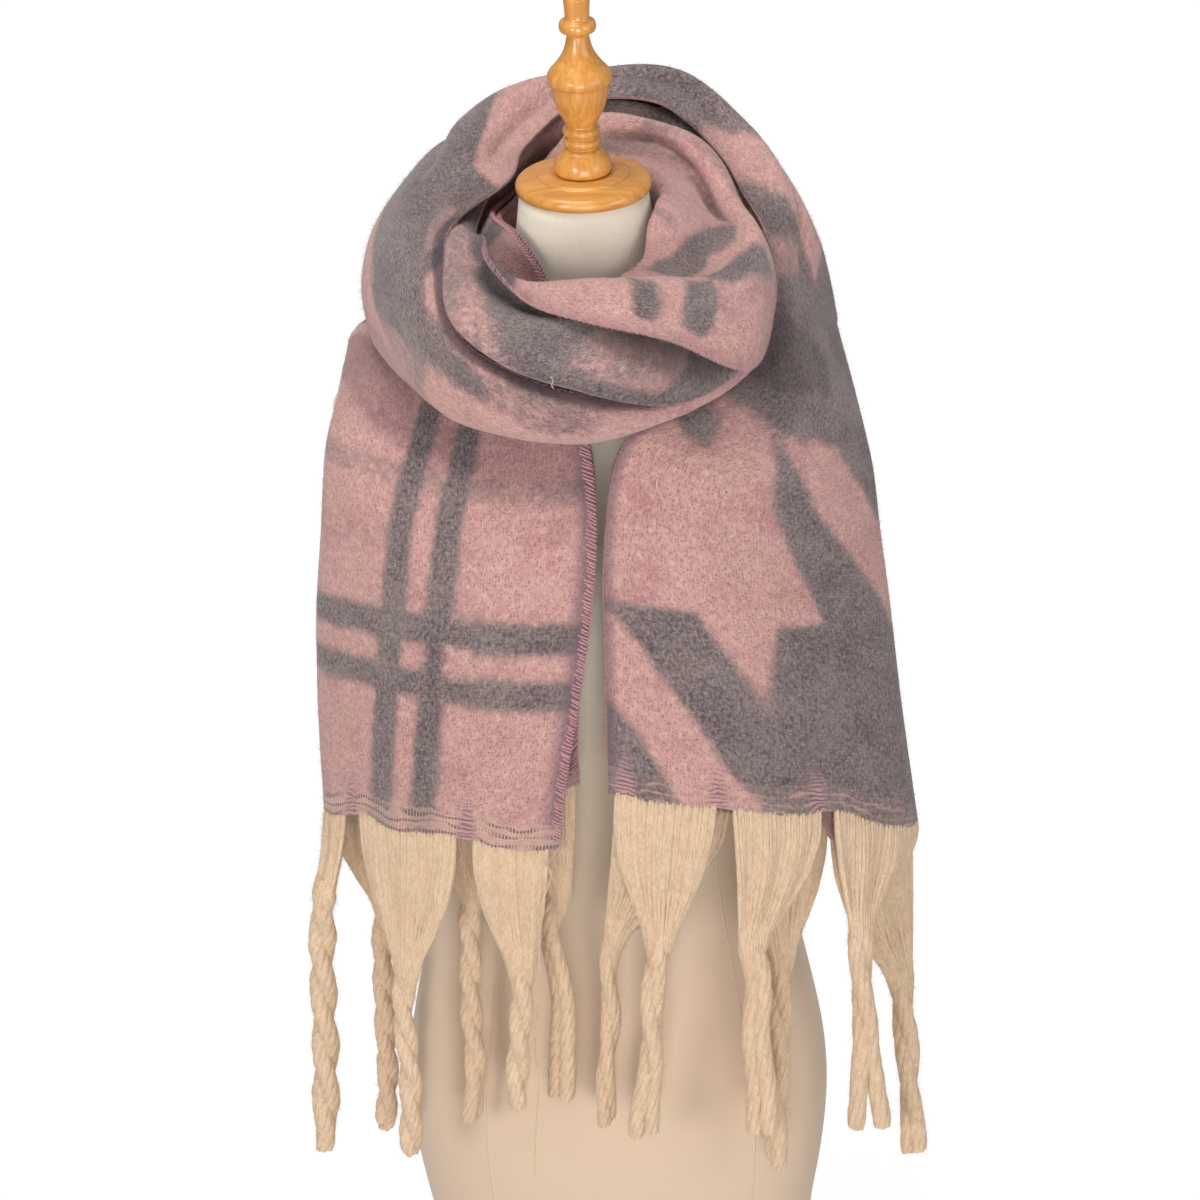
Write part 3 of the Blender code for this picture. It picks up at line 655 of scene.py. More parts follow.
# Soft unevenness of the worn cloth. Both layers move the same way.
UNEVEN = (
    # size of the swells, seed and height, millimetres
    (95.0, 3.1, 2.2),
    (34.0, 7.7, 0.9),
)
u_fold = np.abs(share_grid - 0.5) * CHART_WIDE
towards = np.tanh((0.5 - share_grid) / 0.04)
loose = 0.35 + 0.65 * np.clip((v_grid - 500) / 150, 0, 1) * np.clip((1820 - v_grid) / 150, 0, 1)
relief = sum(noise_over(u_fold, v_grid, size, seed) * high for size, seed, high in UNEVEN)
near_edge = np.minimum(share_grid, 1 - share_grid) * CHART_WIDE
relief *= 1 - 0.7 * np.exp(-((near_edge / 25) ** 2))
sheet = middle + grid_normals(middle) * (relief * towards * loose)[:, :, None]
CREASES = (
    # places on the cloth (across, along) that each crease passes, its depth and its half width
    (((404, 600), (414, 652), (408, 672), (400, 700), (397, 740), (403, 775)), 9.5, 6.5),
    (((52, 1262), (34, 1290), (26, 1330), (26, 1400), (28, 1470), (24, 1530), (30, 1580)), 6.0, 8),
    (((330, 900), (352, 940), (350, 990), (366, 1040)), 2.0, 10),
    (((70, 1215), (98, 1265), (124, 1330), (130, 1395)), 4.5, 9),
    (((176, 1290), (160, 1360), (150, 1440), (118, 1500)), 5.0, 11),
    (((205, 1240), (192, 1310), (198, 1390)), 3.5, 8),
    (((96, 1410), (82, 1475), (94, 1545)), 4.0, 8),
    (((60, 1560), (84, 1620), (90, 1690)), 3.0, 9),
    (((40, 470), (60, 520), (52, 580)), 4.0, 8),
)


def from_segment(u, v, start, end):
    """How far places are from a straight line between two, and where along it they are nearest."""
    (u0, v0), (u1, v1) = start, end
    share = ((u - u0) * (u1 - u0) + (v - v0) * (v1 - v0)) / ((u1 - u0) ** 2 + (v1 - v0) ** 2)
    share = np.clip(share, 0, 1)
    return np.hypot(u - u0 - share * (u1 - u0), v - v0 - share * (v1 - v0)), share


def trough(u, v, line, depth, half):
    """How deep a soft crease along a line of cloth places goes, fading out at both its ends."""
    depths = np.zeros(u.shape)
    for k, (start, end) in enumerate(zip(line, line[1:])):
        away, share = from_segment(u, v, start, end)
        through = (k + share) / (len(line) - 1)
        fade = np.minimum(1, 4 * np.minimum(through, 1 - through))
        depths = np.maximum(depths, depth * fade * np.exp(-((away / half) ** 2)))
    return depths


for line, depth, half in CREASES:
    sheet = sheet + grid_normals(middle) * trough(u_grid, v_grid, line, depth, half)[:, :, None]

# Neither hem is quite straight: places across and how far short of the full length the cloth ends.
SHORT_LEFT = (
    (0, 10), (32, 10), (60, 17), (88, 19), (142, 14), (164, 16), (206, 5), (228, 0), (260, 6), (460, 14),
)
SHORT_RIGHT = (
    (0, 9), (21, 11), (48, 20), (84, 24), (127, 26), (147, 28), (166, 25), (181, 19), (225, 8), (240, 8),
    (290, 17), (460, 14),
)
SHORT_REACH = 120.0  # how far from each hem the rows of the grid close up to make room
cloth_end = float(along_cloth[-1])
short_left = np.interp(u_grid, *zip(*SHORT_LEFT))
short_right = np.interp(u_grid, *zip(*SHORT_RIGHT))
shift = short_left * np.clip(1 - v_grid / SHORT_REACH, 0, 1) ** 2
shift -= short_right * np.clip(1 - (cloth_end - v_grid) / SHORT_REACH, 0, 1) ** 2
v_grid = v_grid + shift
for n in range(CLOTH_COLUMNS + 1):
    sheet[:, n] = point_at(sheet[:, n], along_cloth, v_grid[:, n]).T
from_left, from_right = v_grid - v_grid[0], v_grid[-1] - v_grid

# Both hems dip between the places where they are drawn together, given across the cloth.
DRAWN_LEFT = (-14.0, 72.0, 180.0, 240.0, 300.0, 372.0, 470.0)
DRAWN_RIGHT = (-10.0, 12.0, 70.0, 141.0, 238.0, 310.0, 388.0, 470.0)
HEM_DIP = 3.0
HEM_NOISE = (30.0, 5.5, 2.0)  # size, seed and height of what makes the hems uneven
HEM_REACH = 45.0  # how far into the cloth the dips go
# The right hem's inner layer hangs out below the rest in one place.
TAB_AT = 300.0
TAB_HALF = 14.0
TAB_LONG = 20.0
TAB_REACH = 60.0
size, seed, high = HEM_NOISE
for spots, from_end, way, tab_long in (
    (DRAWN_LEFT, from_left, sheet[0] - sheet[3], 0.0),
    (DRAWN_RIGHT, from_right, sheet[-1] - sheet[-4], TAB_LONG),
):
    between = np.interp(u_grid, spots, np.arange(len(spots)))
    near_hem = np.clip(1 - from_end / HEM_REACH, 0, 1)
    dip = np.abs(np.sin(np.pi * between)) * HEM_DIP * near_hem**2
    dip += noise_over(u_grid, from_end, size, seed) * high * near_hem
    tab = tab_long * np.exp(-(((u_grid - TAB_AT) / TAB_HALF) ** 4))
    dip += tab * np.clip(1 - from_end / TAB_REACH, 0, 1) ** 1.5
    way = way / np.linalg.norm(way, axis=1, keepdims=True)
    sheet = sheet + way[None] * dip[:, :, None]
face_way = grid_normals(sheet)


# The chart of the cloth, in millimetres across from the outer cut edge and along from the left hem.
# Every shape gives a distance that is positive inside it.
def stripe(value, centre, half):
    """A straight stripe across value."""
    return half - np.abs(value - centre)


def shape(u, v, corners):
    """A straight-sided shape: the distance to its nearest side, positive inside."""
    inside = np.zeros(u.shape, dtype=bool)
    nearest = np.full(u.shape, 1e9)
    for start, end in zip(corners, corners[1:] + corners[:1]):
        nearest = np.minimum(nearest, from_segment(u, v, start, end)[0])
        (u0, v0), (u1, v1) = start, end
        if v0 != v1:
            inside ^= ((v0 > v) != (v1 > v)) & (u < (u1 - u0) * (v - v0) / (v1 - v0) + u0)
    return np.where(inside, nearest, -nearest)


def charted(u, v, ground, layers):
    """Grey above zero and pink below. Every layer's shapes are laid over what is there before them."""
    values = np.full(u.shape, ground)
    for shapes, colour, limit in layers:
        for corners in shapes:
            inside = np.minimum(shape(u, v, corners), limit)
            values = np.maximum(values, inside) if colour == "grey" else np.minimum(values, -inside)
    return values


PINK_GROUND = -14.0
GREY_GROUND = 40.0
FIRM = np.inf  # no limit; a limit under zero leaves a shape to the fibres' own unevenness
PANE_END = 560.0  # along the cloth, where the window-pane pattern ends
TEETH_START = 1775.0  # and where the houndstooth begins
LAYER_SPLIT = 242.0  # across the cloth, where the loops' shapes give way to the throat's
PANE_LINES = (148.0, 109.0)  # the upright pair of stripes of the window-pane end
PANE_BARS = (163.0, 123.0)  # its level pair
TEETH = (
    # pink on the right-hand end: the tooth, the slanting band beside it and the band below it
    [(-8, 1941), (62, 1923), (107, 1993), (118, 1925), (158, 1921), (133, 1866), (125, 1852),
     (101, 1811), (72, 1789), (40, 1783), (-8, 1780)],
    [(78, 1788), (102, 1781), (141, 1778), (176, 1788), (203, 1807), (222, 1830), (262, 1862),
     (262, 1962), (238, 1938), (211, 1895), (186, 1862), (138, 1816)],
    [(-8, 1944), (6, 1944), (34, 1978), (54, 2006), (79, 2044), (100, 2062), (100, 2110),
     (58, 2110), (40, 2060), (10, 2020), (-8, 2004)],
    # pink on the inner layer behind them
    [(262, 1862), (300, 1830), (360, 1800), (470, 1800), (470, 1900), (400, 1930), (330, 1960),
     (262, 1962)],
    [(300, 2040), (360, 2000), (470, 1985), (470, 2110), (340, 2110)],
)
TOOTH_GREY = [(-8, 1796), (12, 1792), (36, 1802), (46, 1818), (24, 1817), (6, 1812), (-8, 1812)]
LOOP_GREY = (
    # the large patch of the left side, the rear of the outer round, and the rise over the right shoulder
    [(-10, 1258), (20, 1262), (42, 1268), (50, 1290), (52, 1314), (57, 1330), (66, 1348),
     (84, 1372), (120, 1400), (180, 1400), (205, 1330), (170, 1262), (146, 1226), (148, 1196),
     (156, 1166), (144, 1149), (124, 1129), (104, 1110), (78, 1090), (62, 1074), (55, 1055),
     (50, 1040), (38, 1036), (20, 1058), (16, 1085), (30, 1098), (36, 1112), (32, 1126), (14, 1130),
     (-10, 1134)],
    [(-10, 1404), (90, 1404), (150, 1440), (242, 1440), (242, 1780), (-10, 1780)],
)
LOOP_PINK = (
    [(-10, 1536), (9, 1538), (16, 1545), (33, 1560), (60, 1572), (120, 1560), (170, 1600),
     (120, 1655), (60, 1632), (33, 1622), (15, 1611), (-10, 1600)],
    [(150, 1480), (242, 1460), (242, 1530), (190, 1540)],
)
LOOP_FAINT_GREY_AND_SHADE = (
    # the first shape is painted shade: a grey band along the cut edge where the crease beside it lies in
    # shade
    [(-10, 940), (9, 955), (13, 1050), (12, 1130), (-10, 1130)],
    [(14, 965), (38, 972), (55, 1012), (46, 1040), (20, 1030)],
    [(78, 1090), (120, 1090), (160, 1130), (150, 1160), (104, 1110)],
)
LOOP_FAINT_PINK = (
    [(-5, 1668), (26, 1657), (60, 1649), (88, 1647), (84, 1660), (50, 1670), (20, 1682), (-5, 1692)],
    [(140, 1182), (190, 1182), (190, 1240), (140, 1240)],
    [(12, 1150), (30, 1150), (26, 1215), (12, 1215)],
)
THROAT_GREY = (
    # slanting stripes beside the neck, and the stripes that cross the turned flap
    [(312, 876), (331, 852), (340, 820), (348, 797), (370, 787), (392, 781), (401, 764), (385, 755),
     (360, 764), (336, 778), (315, 796), (300, 818), (296, 852)],
    [(368, 858), (386, 842), (399, 820), (418, 807), (438, 797), (425, 786), (405, 789), (385, 799),
     (368, 814), (356, 838)],
    [(388, 934), (388, 912), (420, 915), (444, 922), (444, 940), (420, 937)],
    [(436, 1046), (470, 1040), (470, 1104), (442, 1098)],
    [(372, 884), (376, 856), (396, 863), (430, 881), (441, 891), (438, 904), (415, 901), (394, 893)],
)
THROAT_FAINT_GREY = (
    [(394, 600), (414, 600), (420, 660), (404, 690), (396, 660)],
    [(424, 640), (450, 640), (450, 720), (430, 740)],
    [(388, 700), (396, 690), (400, 770), (390, 780)],
    [(272, 782), (300, 786), (302, 798), (276, 796)],
    [(404, 655), (420, 655), (420, 678), (404, 680)],
)
ROLL_GREY = (
    # the upper roll, which shows the cloth's other side
    [(470, 1112), (420, 1104), (392, 1090), (374, 1066), (350, 1050), (326, 1040), (292, 1032),
     (256, 1008), (230, 975), (200, 940), (162, 895), (138, 870), (120, 800), (470, 800)],
    [(428, 1100), (470, 1100), (470, 1262), (436, 1262)],
)
ROLL_FAINT_GREY = (
    [(320, 1030), (400, 1080), (430, 1110), (430, 1250), (350, 1250), (296, 1080), (270, 1010),
     (290, 1004)],
)
ROLL_PINK = (
    [(255, 956), (296, 984), (338, 958), (334, 890), (286, 868), (222, 886), (228, 928)],
    [(262, 905), (300, 930), (330, 962), (312, 968), (276, 940), (250, 916)],
    [(330, 880), (352, 900), (372, 940), (356, 944), (334, 914)],
)


LOOP_LAYERS = (
    (LOOP_GREY, "grey", FIRM),
    (LOOP_PINK, "pink", FIRM),
    (LOOP_FAINT_GREY_AND_SHADE, "grey", -0.4),
    (LOOP_FAINT_PINK, "pink", -0.6),
)
THROAT_LAYERS = (
    (THROAT_GREY, "grey", FIRM),
    (THROAT_FAINT_GREY, "grey", -0.8),
)
ROLL_LAYERS = (
    (ROLL_GREY, "grey", FIRM),
    (ROLL_FAINT_GREY, "grey", -0.9),
    (ROLL_PINK, "pink", -0.4),
)


def face_chart(u, v):
    """The chart of the side of the cloth that shows on the hanging ends."""
    drift = 26 * np.clip((v - 245) / 90, 0, 1) ** 1.5
    wave = 6 * np.sin((u - 20) / 62.0)
    lines = (
        stripe(u, PANE_LINES[0] - drift, 11.0),
        stripe(u, PANE_LINES[1] - drift, 11.0),
        stripe(v - wave, PANE_BARS[0], 11.5),
        stripe(v - wave, PANE_BARS[1], 10.5),
        np.minimum(stripe(v - 0.1 * (u - 80), 269.0, 6.5), -0.3),
        stripe(u, 312.0, 9.5),
        stripe(u, 350.0, 9.5),
        stripe(v, 440.0, 11.0),
    )
    pane = np.maximum.reduce(lines)
    teeth = charted(u, v, GREY_GROUND, ((TEETH, "pink", FIRM),))
    teeth = np.maximum(teeth, shape(u, v, TOOTH_GREY) - 0.5)
    loops = charted(u, v, PINK_GROUND, LOOP_LAYERS)
    throat = charted(u, v, PINK_GROUND, THROAT_LAYERS)
    throat = np.maximum(throat, np.minimum(stripe(v, 1490.0, 60.0), u - 300))
    between = np.where(u < LAYER_SPLIT, loops, throat)
    return np.where(v < PANE_END, pane, np.where(v < TEETH_START, between, teeth))


def back_chart(u, v):
    """The other side, where the colours trade places except along the upper roll."""
    on_roll = (u > 150) & (v > 800) & (v < 1262)
    return np.where(on_roll, charted(u, v, PINK_GROUND, ROLL_LAYERS), -face_chart(u, v))


CHART_DEEPEST = 25.0  # millimetres inside a shape beyond which the chart is level
face_grey = np.clip(face_chart(u_grid, v_grid), -CHART_DEEPEST, CHART_DEEPEST)
back_grey = np.clip(back_chart(u_grid, v_grid), -CHART_DEEPEST, CHART_DEEPEST)

PINK = (0.590, 0.325, 0.300, 1.0)
PINK_DEEP = (0.480, 0.225, 0.225, 1.0)
PINK_PALE = (0.640, 0.425, 0.365, 1.0)
GREY = (0.094, 0.066, 0.075, 1.0)
GREY_PALE = (0.262, 0.208, 0.204, 1.0)
CREAM = (0.470, 0.380, 0.305, 1.0)
DARK_DOT = (0.150, 0.075, 0.085, 1.0)
MAUVE = (0.155, 0.100, 0.125, 1.0)
HEM_BLUSH = (0.600, 0.420, 0.320, 1.0)
RUNG_PINK = (0.560, 0.310, 0.290, 1.0)
# painted shade: the tint that the colour is darkened towards where the cloth is closed in
PAINTED_SHADE_TINT = (0.22, 0.20, 0.28)
UV_SPAN = 2.2  # metres of cloth for one unit of the UV map
WEAVE = (470.0, 400.0, 1.0)  # ends and picks that show, to the metre
DOT_WANDER = (2.0, 2.0, 0.0)  # how far the raised picks stray from their rows, in picks
PICK_ROWS = 0.0065  # metres between the rows of picks at a hem
PICK_TICKS = 0.0026  # metres between the picks of a row
RUNG_ROWS = 0.0034  # metres between the rungs where a hem is drawn together
CLOTH_SHEEN = (0.98, 0.89, 0.88, 1.0)

# the colour group's last input is painted shade, which darkens the colour as if in shade
cloth_colour = bpy.data.node_groups.new("brushed cloth colour", "ShaderNodeTree")
for label, kind in (("Chart", "Float"), ("Place", "Vector"), ("Worn", "Float"), ("PaintedShade", "Float")):
    cloth_colour.interface.new_socket(label, in_out="INPUT", socket_type="NodeSocket" + kind)
for label, kind in (("Colour", "Color"), ("Height", "Float")):
    cloth_colour.interface.new_socket(label, in_out="OUTPUT", socket_type="NodeSocket" + kind)
tree = cloth_colour
given = tree.nodes.new("NodeGroupInput").outputs
result = tree.nodes.new("NodeGroupOutput")
place = given["Place"]  # metres on the cloth: x across, y along
mottle = noise_of(tree, place, 150.0, 4.0)
fuzz = noise_of(tree, place, 620.0, 3.0)
grain = noise_of(tree, scaled(tree, place, (1.0, 0.75, 1.0)), 420.0, 3.0)
streaks = drawn_noise(tree, place, (1000, 170, 1), 3.0)
cloud = noise_of(tree, place, 24.0, 5.0)
# the chart's boundary, frayed by tufts, streaks and single threads
tufts = maths(tree, "ADD", swing(tree, mottle, 7.0), swing(tree, streaks, 6.0), swing(tree, fuzz, 7.0))
tufts = maths(tree, "MULTIPLY", tufts, range_of(tree, given["Worn"], 0.30, 1.0, 1.0, 4.6))
tufts = maths(tree, "ADD", tufts, maths(tree, "MULTIPLY", swing(tree, cloud, 34.0), given["Worn"]))
reach = range_of(tree, given["Worn"], 0.0, 1.0, 3.6, 8.0)
frayed = maths(tree, "DIVIDE", maths(tree, "ADD", given["Chart"], tufts), reach)
grey_share = range_of(tree, frayed, -1.0, 1.0)
pink = colour_between(tree, range_of(tree, cloud, 0.46, 0.74), PINK, PINK_DEEP)
for source, low, high, most, tint in (
    (mottle, 0.55, 0.25, 0.75, PINK_PALE),
    (grain, 0.52, 0.72, 0.55, PINK_PALE),
    (grain, 0.48, 0.28, 0.62, PINK_DEEP),
):
    pink = colour_between(tree, range_of(tree, source, low, high, 0.0, most), pink, tint)
shares_of = ((grain, 0.62), (mottle, 0.2), (cloud, 0.32))
parts = [maths(tree, "MULTIPLY", source, part) for source, part in shares_of]
grey_tone = maths(tree, "ADD", *parts)
grey = colour_between(tree, range_of(tree, grey_tone, 0.42, 0.72), GREY, GREY_PALE)
base = colour_between(tree, grey_share, pink, grey)
# raised picks: dark ones on the pink, pale ones on both
wander = add_node(tree, "TexNoise", (("Vector", place), ("Scale", 230.0), ("Detail", 2.0))).outputs["Color"]
links = ((0, wander), (1, DOT_WANDER), (2, scaled(tree, place, WEAVE)))
astray = add_node(tree, "VectorMath", links, operation="MULTIPLY_ADD").outputs[0]
links = (("Vector", astray), ("Scale", 1.0), ("Randomness", 0.65))
dots = add_node(tree, "TexVoronoi", links, voronoi_dimensions="2D").outputs
chance = add_node(tree, "SeparateColor", (("Color", dots["Color"]),)).outputs
dot = range_of(tree, dots["Distance"], 0.50, 0.06)
dark_chance = maths(tree, "ADD", chance["Red"], maths(tree, "MULTIPLY", mottle, 0.9))
dark_pick = range_of(tree, dark_chance, 0.62, 1.20, 0.0, 0.62)
on_pink = maths(tree, "SUBTRACT", 1.0, grey_share)
base = colour_between(tree, maths(tree, "MULTIPLY", dot, dark_pick, on_pink), base, DARK_DOT)
pale_limit = maths(tree, "ADD", maths(tree, "MULTIPLY", given["Worn"], 0.35), 0.42)
pale_chance = maths(tree, "SUBTRACT", pale_limit, chance["Green"])
pale_pick = range_of(tree, pale_chance, -0.25, 0.55, 0.0, 0.50)
pale_pick = maths(tree, "MULTIPLY", pale_pick, range_of(tree, grey_share, 0.0, 1.0, 0.55, 1.0))
base = colour_between(tree, maths(tree, "MULTIPLY", dot, pale_pick), base, CREAM)
base = colour_between(tree, range_of(tree, fuzz, 0.52, 0.78, 0.0, 0.30), base, CREAM)
tone = range_of(tree, streaks, 0.25, 0.75, 0.80, 1.18, smooth=False)
brushed = add_node(tree, "VectorMath", ((0, base), (1, tone)), operation="MULTIPLY").outputs[0]
# painted shade: where the cloth is closed in by near cloth and form, the colour darkens towards a deep
# mauve as if in shade
painted_shade = range_of(tree, given["PaintedShade"], 0.22, 0.78, 0.0, 0.80)
shaded_colour = add_node(tree, "VectorMath", ((0, brushed), (1, PAINTED_SHADE_TINT)), operation="MULTIPLY").outputs[0]
tree.links.new(colour_between(tree, painted_shade, brushed, shaded_colour), result.inputs["Colour"])
relief_height = maths(tree, "ADD", streaks, maths(tree, "MULTIPLY", mottle, 1.3))
relief_height = maths(tree, "SUBTRACT", relief_height, maths(tree, "MULTIPLY", dot, 0.45))
tree.links.new(maths(tree, "ADD", relief_height, fuzz), result.inputs["Height"])


def stored(tree, name):
    """What the piece's mesh holds under that name."""
    return add_node(tree, "Attribute", attribute_name=name).outputs["Fac"]


def coloured_by(tree, side):
    """The cloth's colour group for the face or the back. Gives its outputs and the place."""
    uv = add_node(tree, "UVMap", uv_map="cloth").outputs["UV"]
    place = scaled(tree, uv, (UV_SPAN, UV_SPAN, 1.0))
    links = (
        ("Place", place),
        ("Chart", stored(tree, side + "_grey")),
        ("Worn", stored(tree, "worn")),
        # the painted shade that darkens that side's colour
        ("PaintedShade", stored(tree, side + "_hollow")),
    )
    return add_node(tree, "Group", links, node_tree=cloth_colour).outputs, place


def from_line(tree, value, spacing):
    """How far value is from the middle of its own row, in rows."""
    turned = maths(tree, "FRACT", maths(tree, "DIVIDE", value, spacing), 0.0)
    return maths(tree, "ABSOLUTE", maths(tree, "SUBTRACT", turned, 0.5), 0.0)


def cloth_finish(name, side):
    """Brushed wool-like cloth, coloured by the chart on that side of it."""
    values = {"Sheen_Weight": 0.40, "Sheen_Roughness": 0.5, "Specular_IOR_Level": 0.1}
    finish, tree, shader = new_finish(name, 0.95, **values)
    shader.inputs["Sheen Tint"].default_value = CLOTH_SHEEN
    group, place = coloured_by(tree, side)
    parts = add_node(tree, "SeparateXYZ", (("Vector", place),)).outputs
    # the mauve border beside both cut edges
    colour = colour_between(tree, stored(tree, "border"), group["Colour"], MAUVE)
    # the rows of picks beside both hems, rubbed pale at the right one
    wobble = drawn_noise(tree, place, (42, 90, 0))
    wavy = maths(tree, "ADD", stored(tree, "from_hem"), swing(tree, wobble, 0.013))
    line = from_line(tree, wavy, PICK_ROWS)
    tick = from_line(tree, parts["X"], PICK_TICKS)
    dashes = maths(tree, "MULTIPLY", range_of(tree, line, 0.27, 0.12), range_of(tree, tick, 0.46, 0.20))
    band = range_of(tree, wavy, 0.0205, 0.0175)
    rubbed = range_of(tree, parts["Y"], 1.0, 1.1, 1.0, 0.22)
    colour = colour_between(tree, maths(tree, "MULTIPLY", band, 0.58, rubbed), colour, HEM_BLUSH)
    worn_row = maths(tree, "MULTIPLY", range_of(tree, wobble, 0.34, 0.56, 0.25, 1.0), rubbed)
    dashes = maths(tree, "MULTIPLY", dashes, band, worn_row)
    between_rows = range_of(tree, line, 0.30, 0.46)
    streaks = maths(tree, "MULTIPLY", between_rows, range_of(tree, wobble, 0.62, 0.40, 0.1, 0.75))
    colour = colour_between(tree, maths(tree, "MULTIPLY", streaks, band), colour, RUNG_PINK)
    colour = colour_between(tree, dashes, colour, MAUVE)
    # rungs where the hem is drawn together between two tassels
    rung = range_of(tree, from_line(tree, wavy, RUNG_ROWS), 0.14, 0.30)
    rungs = colour_between(tree, rung, MAUVE, RUNG_PINK)
    drawn = range_of(tree, stored(tree, "ladder"), 0.10, 0.9, 0.0, 0.80)
    tree.links.new(colour_between(tree, drawn, colour, rungs), shader.inputs["Base Color"])
    bumped(tree, shader, group["Height"], 0.7, 0.0008)
    return finish


face_finish = cloth_finish("scarf, face side", "face")
back_finish = cloth_finish("scarf, other side", "back")

WORN_PATCHES = (
    # where the nap is rubbed through and the ground shows: corners and how much
    ([(250, 900), (300, 960), (420, 1010), (436, 1250), (330, 1250), (262, 1000)], 0.9),
    ([(10, 940), (60, 960), (110, 1080), (110, 1150), (30, 1150), (10, 1060)], 0.85),
    ([(0, 1700), (180, 1700), (240, 1770), (180, 1800), (0, 1800)], 0.6),
    ([(0, 1430), (60, 1430), (60, 1700), (0, 1700)], 0.6),
)
LADDERS_LEFT = (72.0, 180.0, 300.0, 372.0)  # places across where the hem's picks are drawn together
LADDERS_RIGHT = (12.0, 70.0, 141.0, 300.0, 380.0)
ladder = np.zeros(u_grid.shape)
for spots, from_end in ((LADDERS_LEFT, from_left), (LADDERS_RIGHT, from_right)):
    for spot in spots:
        half = 7.5 - 0.08 * from_end
        near = np.clip(1.4 - np.abs(u_grid - spot) / half, 0, 1) * np.clip((48 - from_end) / 38, 0, 1)
        ladder = np.maximum(ladder, near)
worn = np.clip(noise_over(u_grid, v_grid, 60.0, 11.0) * 0.45 + 0.25, 0, 0.6)
for corners, most in WORN_PATCHES:
    worn = np.maximum(worn, np.clip(0.5 + shape(u_grid, v_grid, corners) / 16, 0, 1) * most)
edge_gap = np.minimum(u_grid, CHART_WIDE - u_grid)
outer_border = np.interp(
    v_grid, (0, 340, 420, 700, 1000, 1700, 1760), (0.85, 0.85, 0.25, 0.2, 0.05, 0.05, 0.7)
)
inner_border = np.interp(v_grid, (0, 600, 700, 1010, 1100), (0.7, 0.7, 0.3, 0.3, 0.6))
border_wide = np.where(v_grid > 1700, 6.0, 13.0)
border = np.where(share_grid < 0.5, outer_border, inner_border) * np.exp(-((edge_gap / border_wide) ** 4))

# How closed in each place of the cloth is, on either side: the share of near cloth and form around it. It
# is painted into the colour as shade.
SHADE_REACH = 0.055
SHADE_RAYS = 18
SHADE_START = 0.003  # metres off the cloth, so that a ray doesn't meet its own place


def filled_between(coarse, shape):
    """A grid of every other point, filled to the full grid."""
    full = np.zeros(shape)
    full[::2, ::2] = coarse
    full[1::2, ::2] = (coarse[:-1] + coarse[1:]) / 2
    full[:, 1::2] = (full[:, :-2:2] + full[:, 2::2]) / 2
    return full


coarse = sheet[::2, ::2] * 0.001
coarse_way = face_way[::2, ::2]
tall, broad = coarse.shape[:2]
index = np.arange(tall * broad).reshape(tall, broad)
quads = np.stack([index[:-1, :-1], index[1:, :-1], index[1:, 1:], index[:-1, 1:]], axis=-1).reshape(-1, 4)
torso_points = [tuple(vert.co) for vert in torso.data.vertices]
torso_faces = [[tall * broad + k for k in face.vertices] for face in torso.data.polygons]
solid = BVHTree.FromPolygons(coarse.reshape(-1, 3).tolist() + torso_points, quads.tolist() + torso_faces)
golden = math.pi * (3 - math.sqrt(5))
rays = []
for k in range(SHADE_RAYS):
    rise = math.sqrt((k + 0.5) / SHADE_RAYS)
    flat_part = math.sqrt(1 - rise * rise)
    rays.append((flat_part * math.cos(golden * k), flat_part * math.sin(golden * k), rise))
painted_shades = {}
for label, side in (("back_hollow", 1.0), ("face_hollow", -1.0)):
    closed = np.zeros(tall * broad)
    for n, (point, way) in enumerate(zip(coarse.reshape(-1, 3), coarse_way.reshape(-1, 3) * side)):
        way = Vector(way)
        start = Vector(point) + way * SHADE_START
        turned = way.to_track_quat("Z", "Y")
        total = 0.0
        for ray in rays:
            away = solid.ray_cast(start, turned @ Vector(ray), SHADE_REACH)[3]
            if away is not None:
                total += 1 - away / SHADE_REACH
        closed[n] = total / SHADE_RAYS
    closed = closed.reshape(tall, broad)
    closed[1:-1, 1:-1] = (
        closed[1:-1, 1:-1] * 2 + closed[:-2, 1:-1] + closed[2:, 1:-1] + closed[1:-1, :-2] + closed[1:-1, 2:]
    ) / 6
    painted_shades[label] = filled_between(closed, share_grid.shape)
PAINTED_SHADOWS = (
    # painted shade and shadow: places along the creases, under the loops and under the flap where the
    # colour is darkened as if in shade
    ("face_hollow", [(-9, 880), (12, 890), (17, 960), (19, 1040), (21, 1100), (20, 1150),
     (12, 1200), (-9, 1210)], 0.86, 12),
    ("face_hollow", [(14, 950), (50, 965), (64, 1010), (60, 1060), (30, 1080), (14, 1060)], 0.42, 16),
    ("face_hollow", [(-9, 250), (60, 262), (140, 282), (190, 300), (260, 360), (260, 420),
     (-9, 400)], 0.52, 30),
    ("face_hollow", [(-9, 1770), (40, 1762), (140, 1740), (140, 1700), (-9, 1700)], 0.50, 14),
    ("face_hollow", [(382, 600), (404, 600), (410, 640), (398, 660), (384, 650)], 0.35, 10),
    ("face_hollow", [(398, 640), (408, 660), (402, 700), (400, 740), (405, 790), (396, 790),
     (392, 720), (394, 680)], 0.35, 8),
    ("face_hollow", [(438, 1040), (470, 1034), (470, 1110), (440, 1100)], 0.60, 8),
    ("back_hollow", [(470, 1030), (412, 1036), (396, 1066), (404, 1100), (470, 1116)], 0.62, 14),
    ("back_hollow", [(320, 1044), (300, 1030), (262, 996), (225, 956), (182, 915), (182, 880),
     (230, 920), (290, 990), (320, 1020)], 0.40, 12),
    ("back_hollow", [(470, 1100), (436, 1110), (440, 1180), (470, 1190)], 0.45, 12),
)
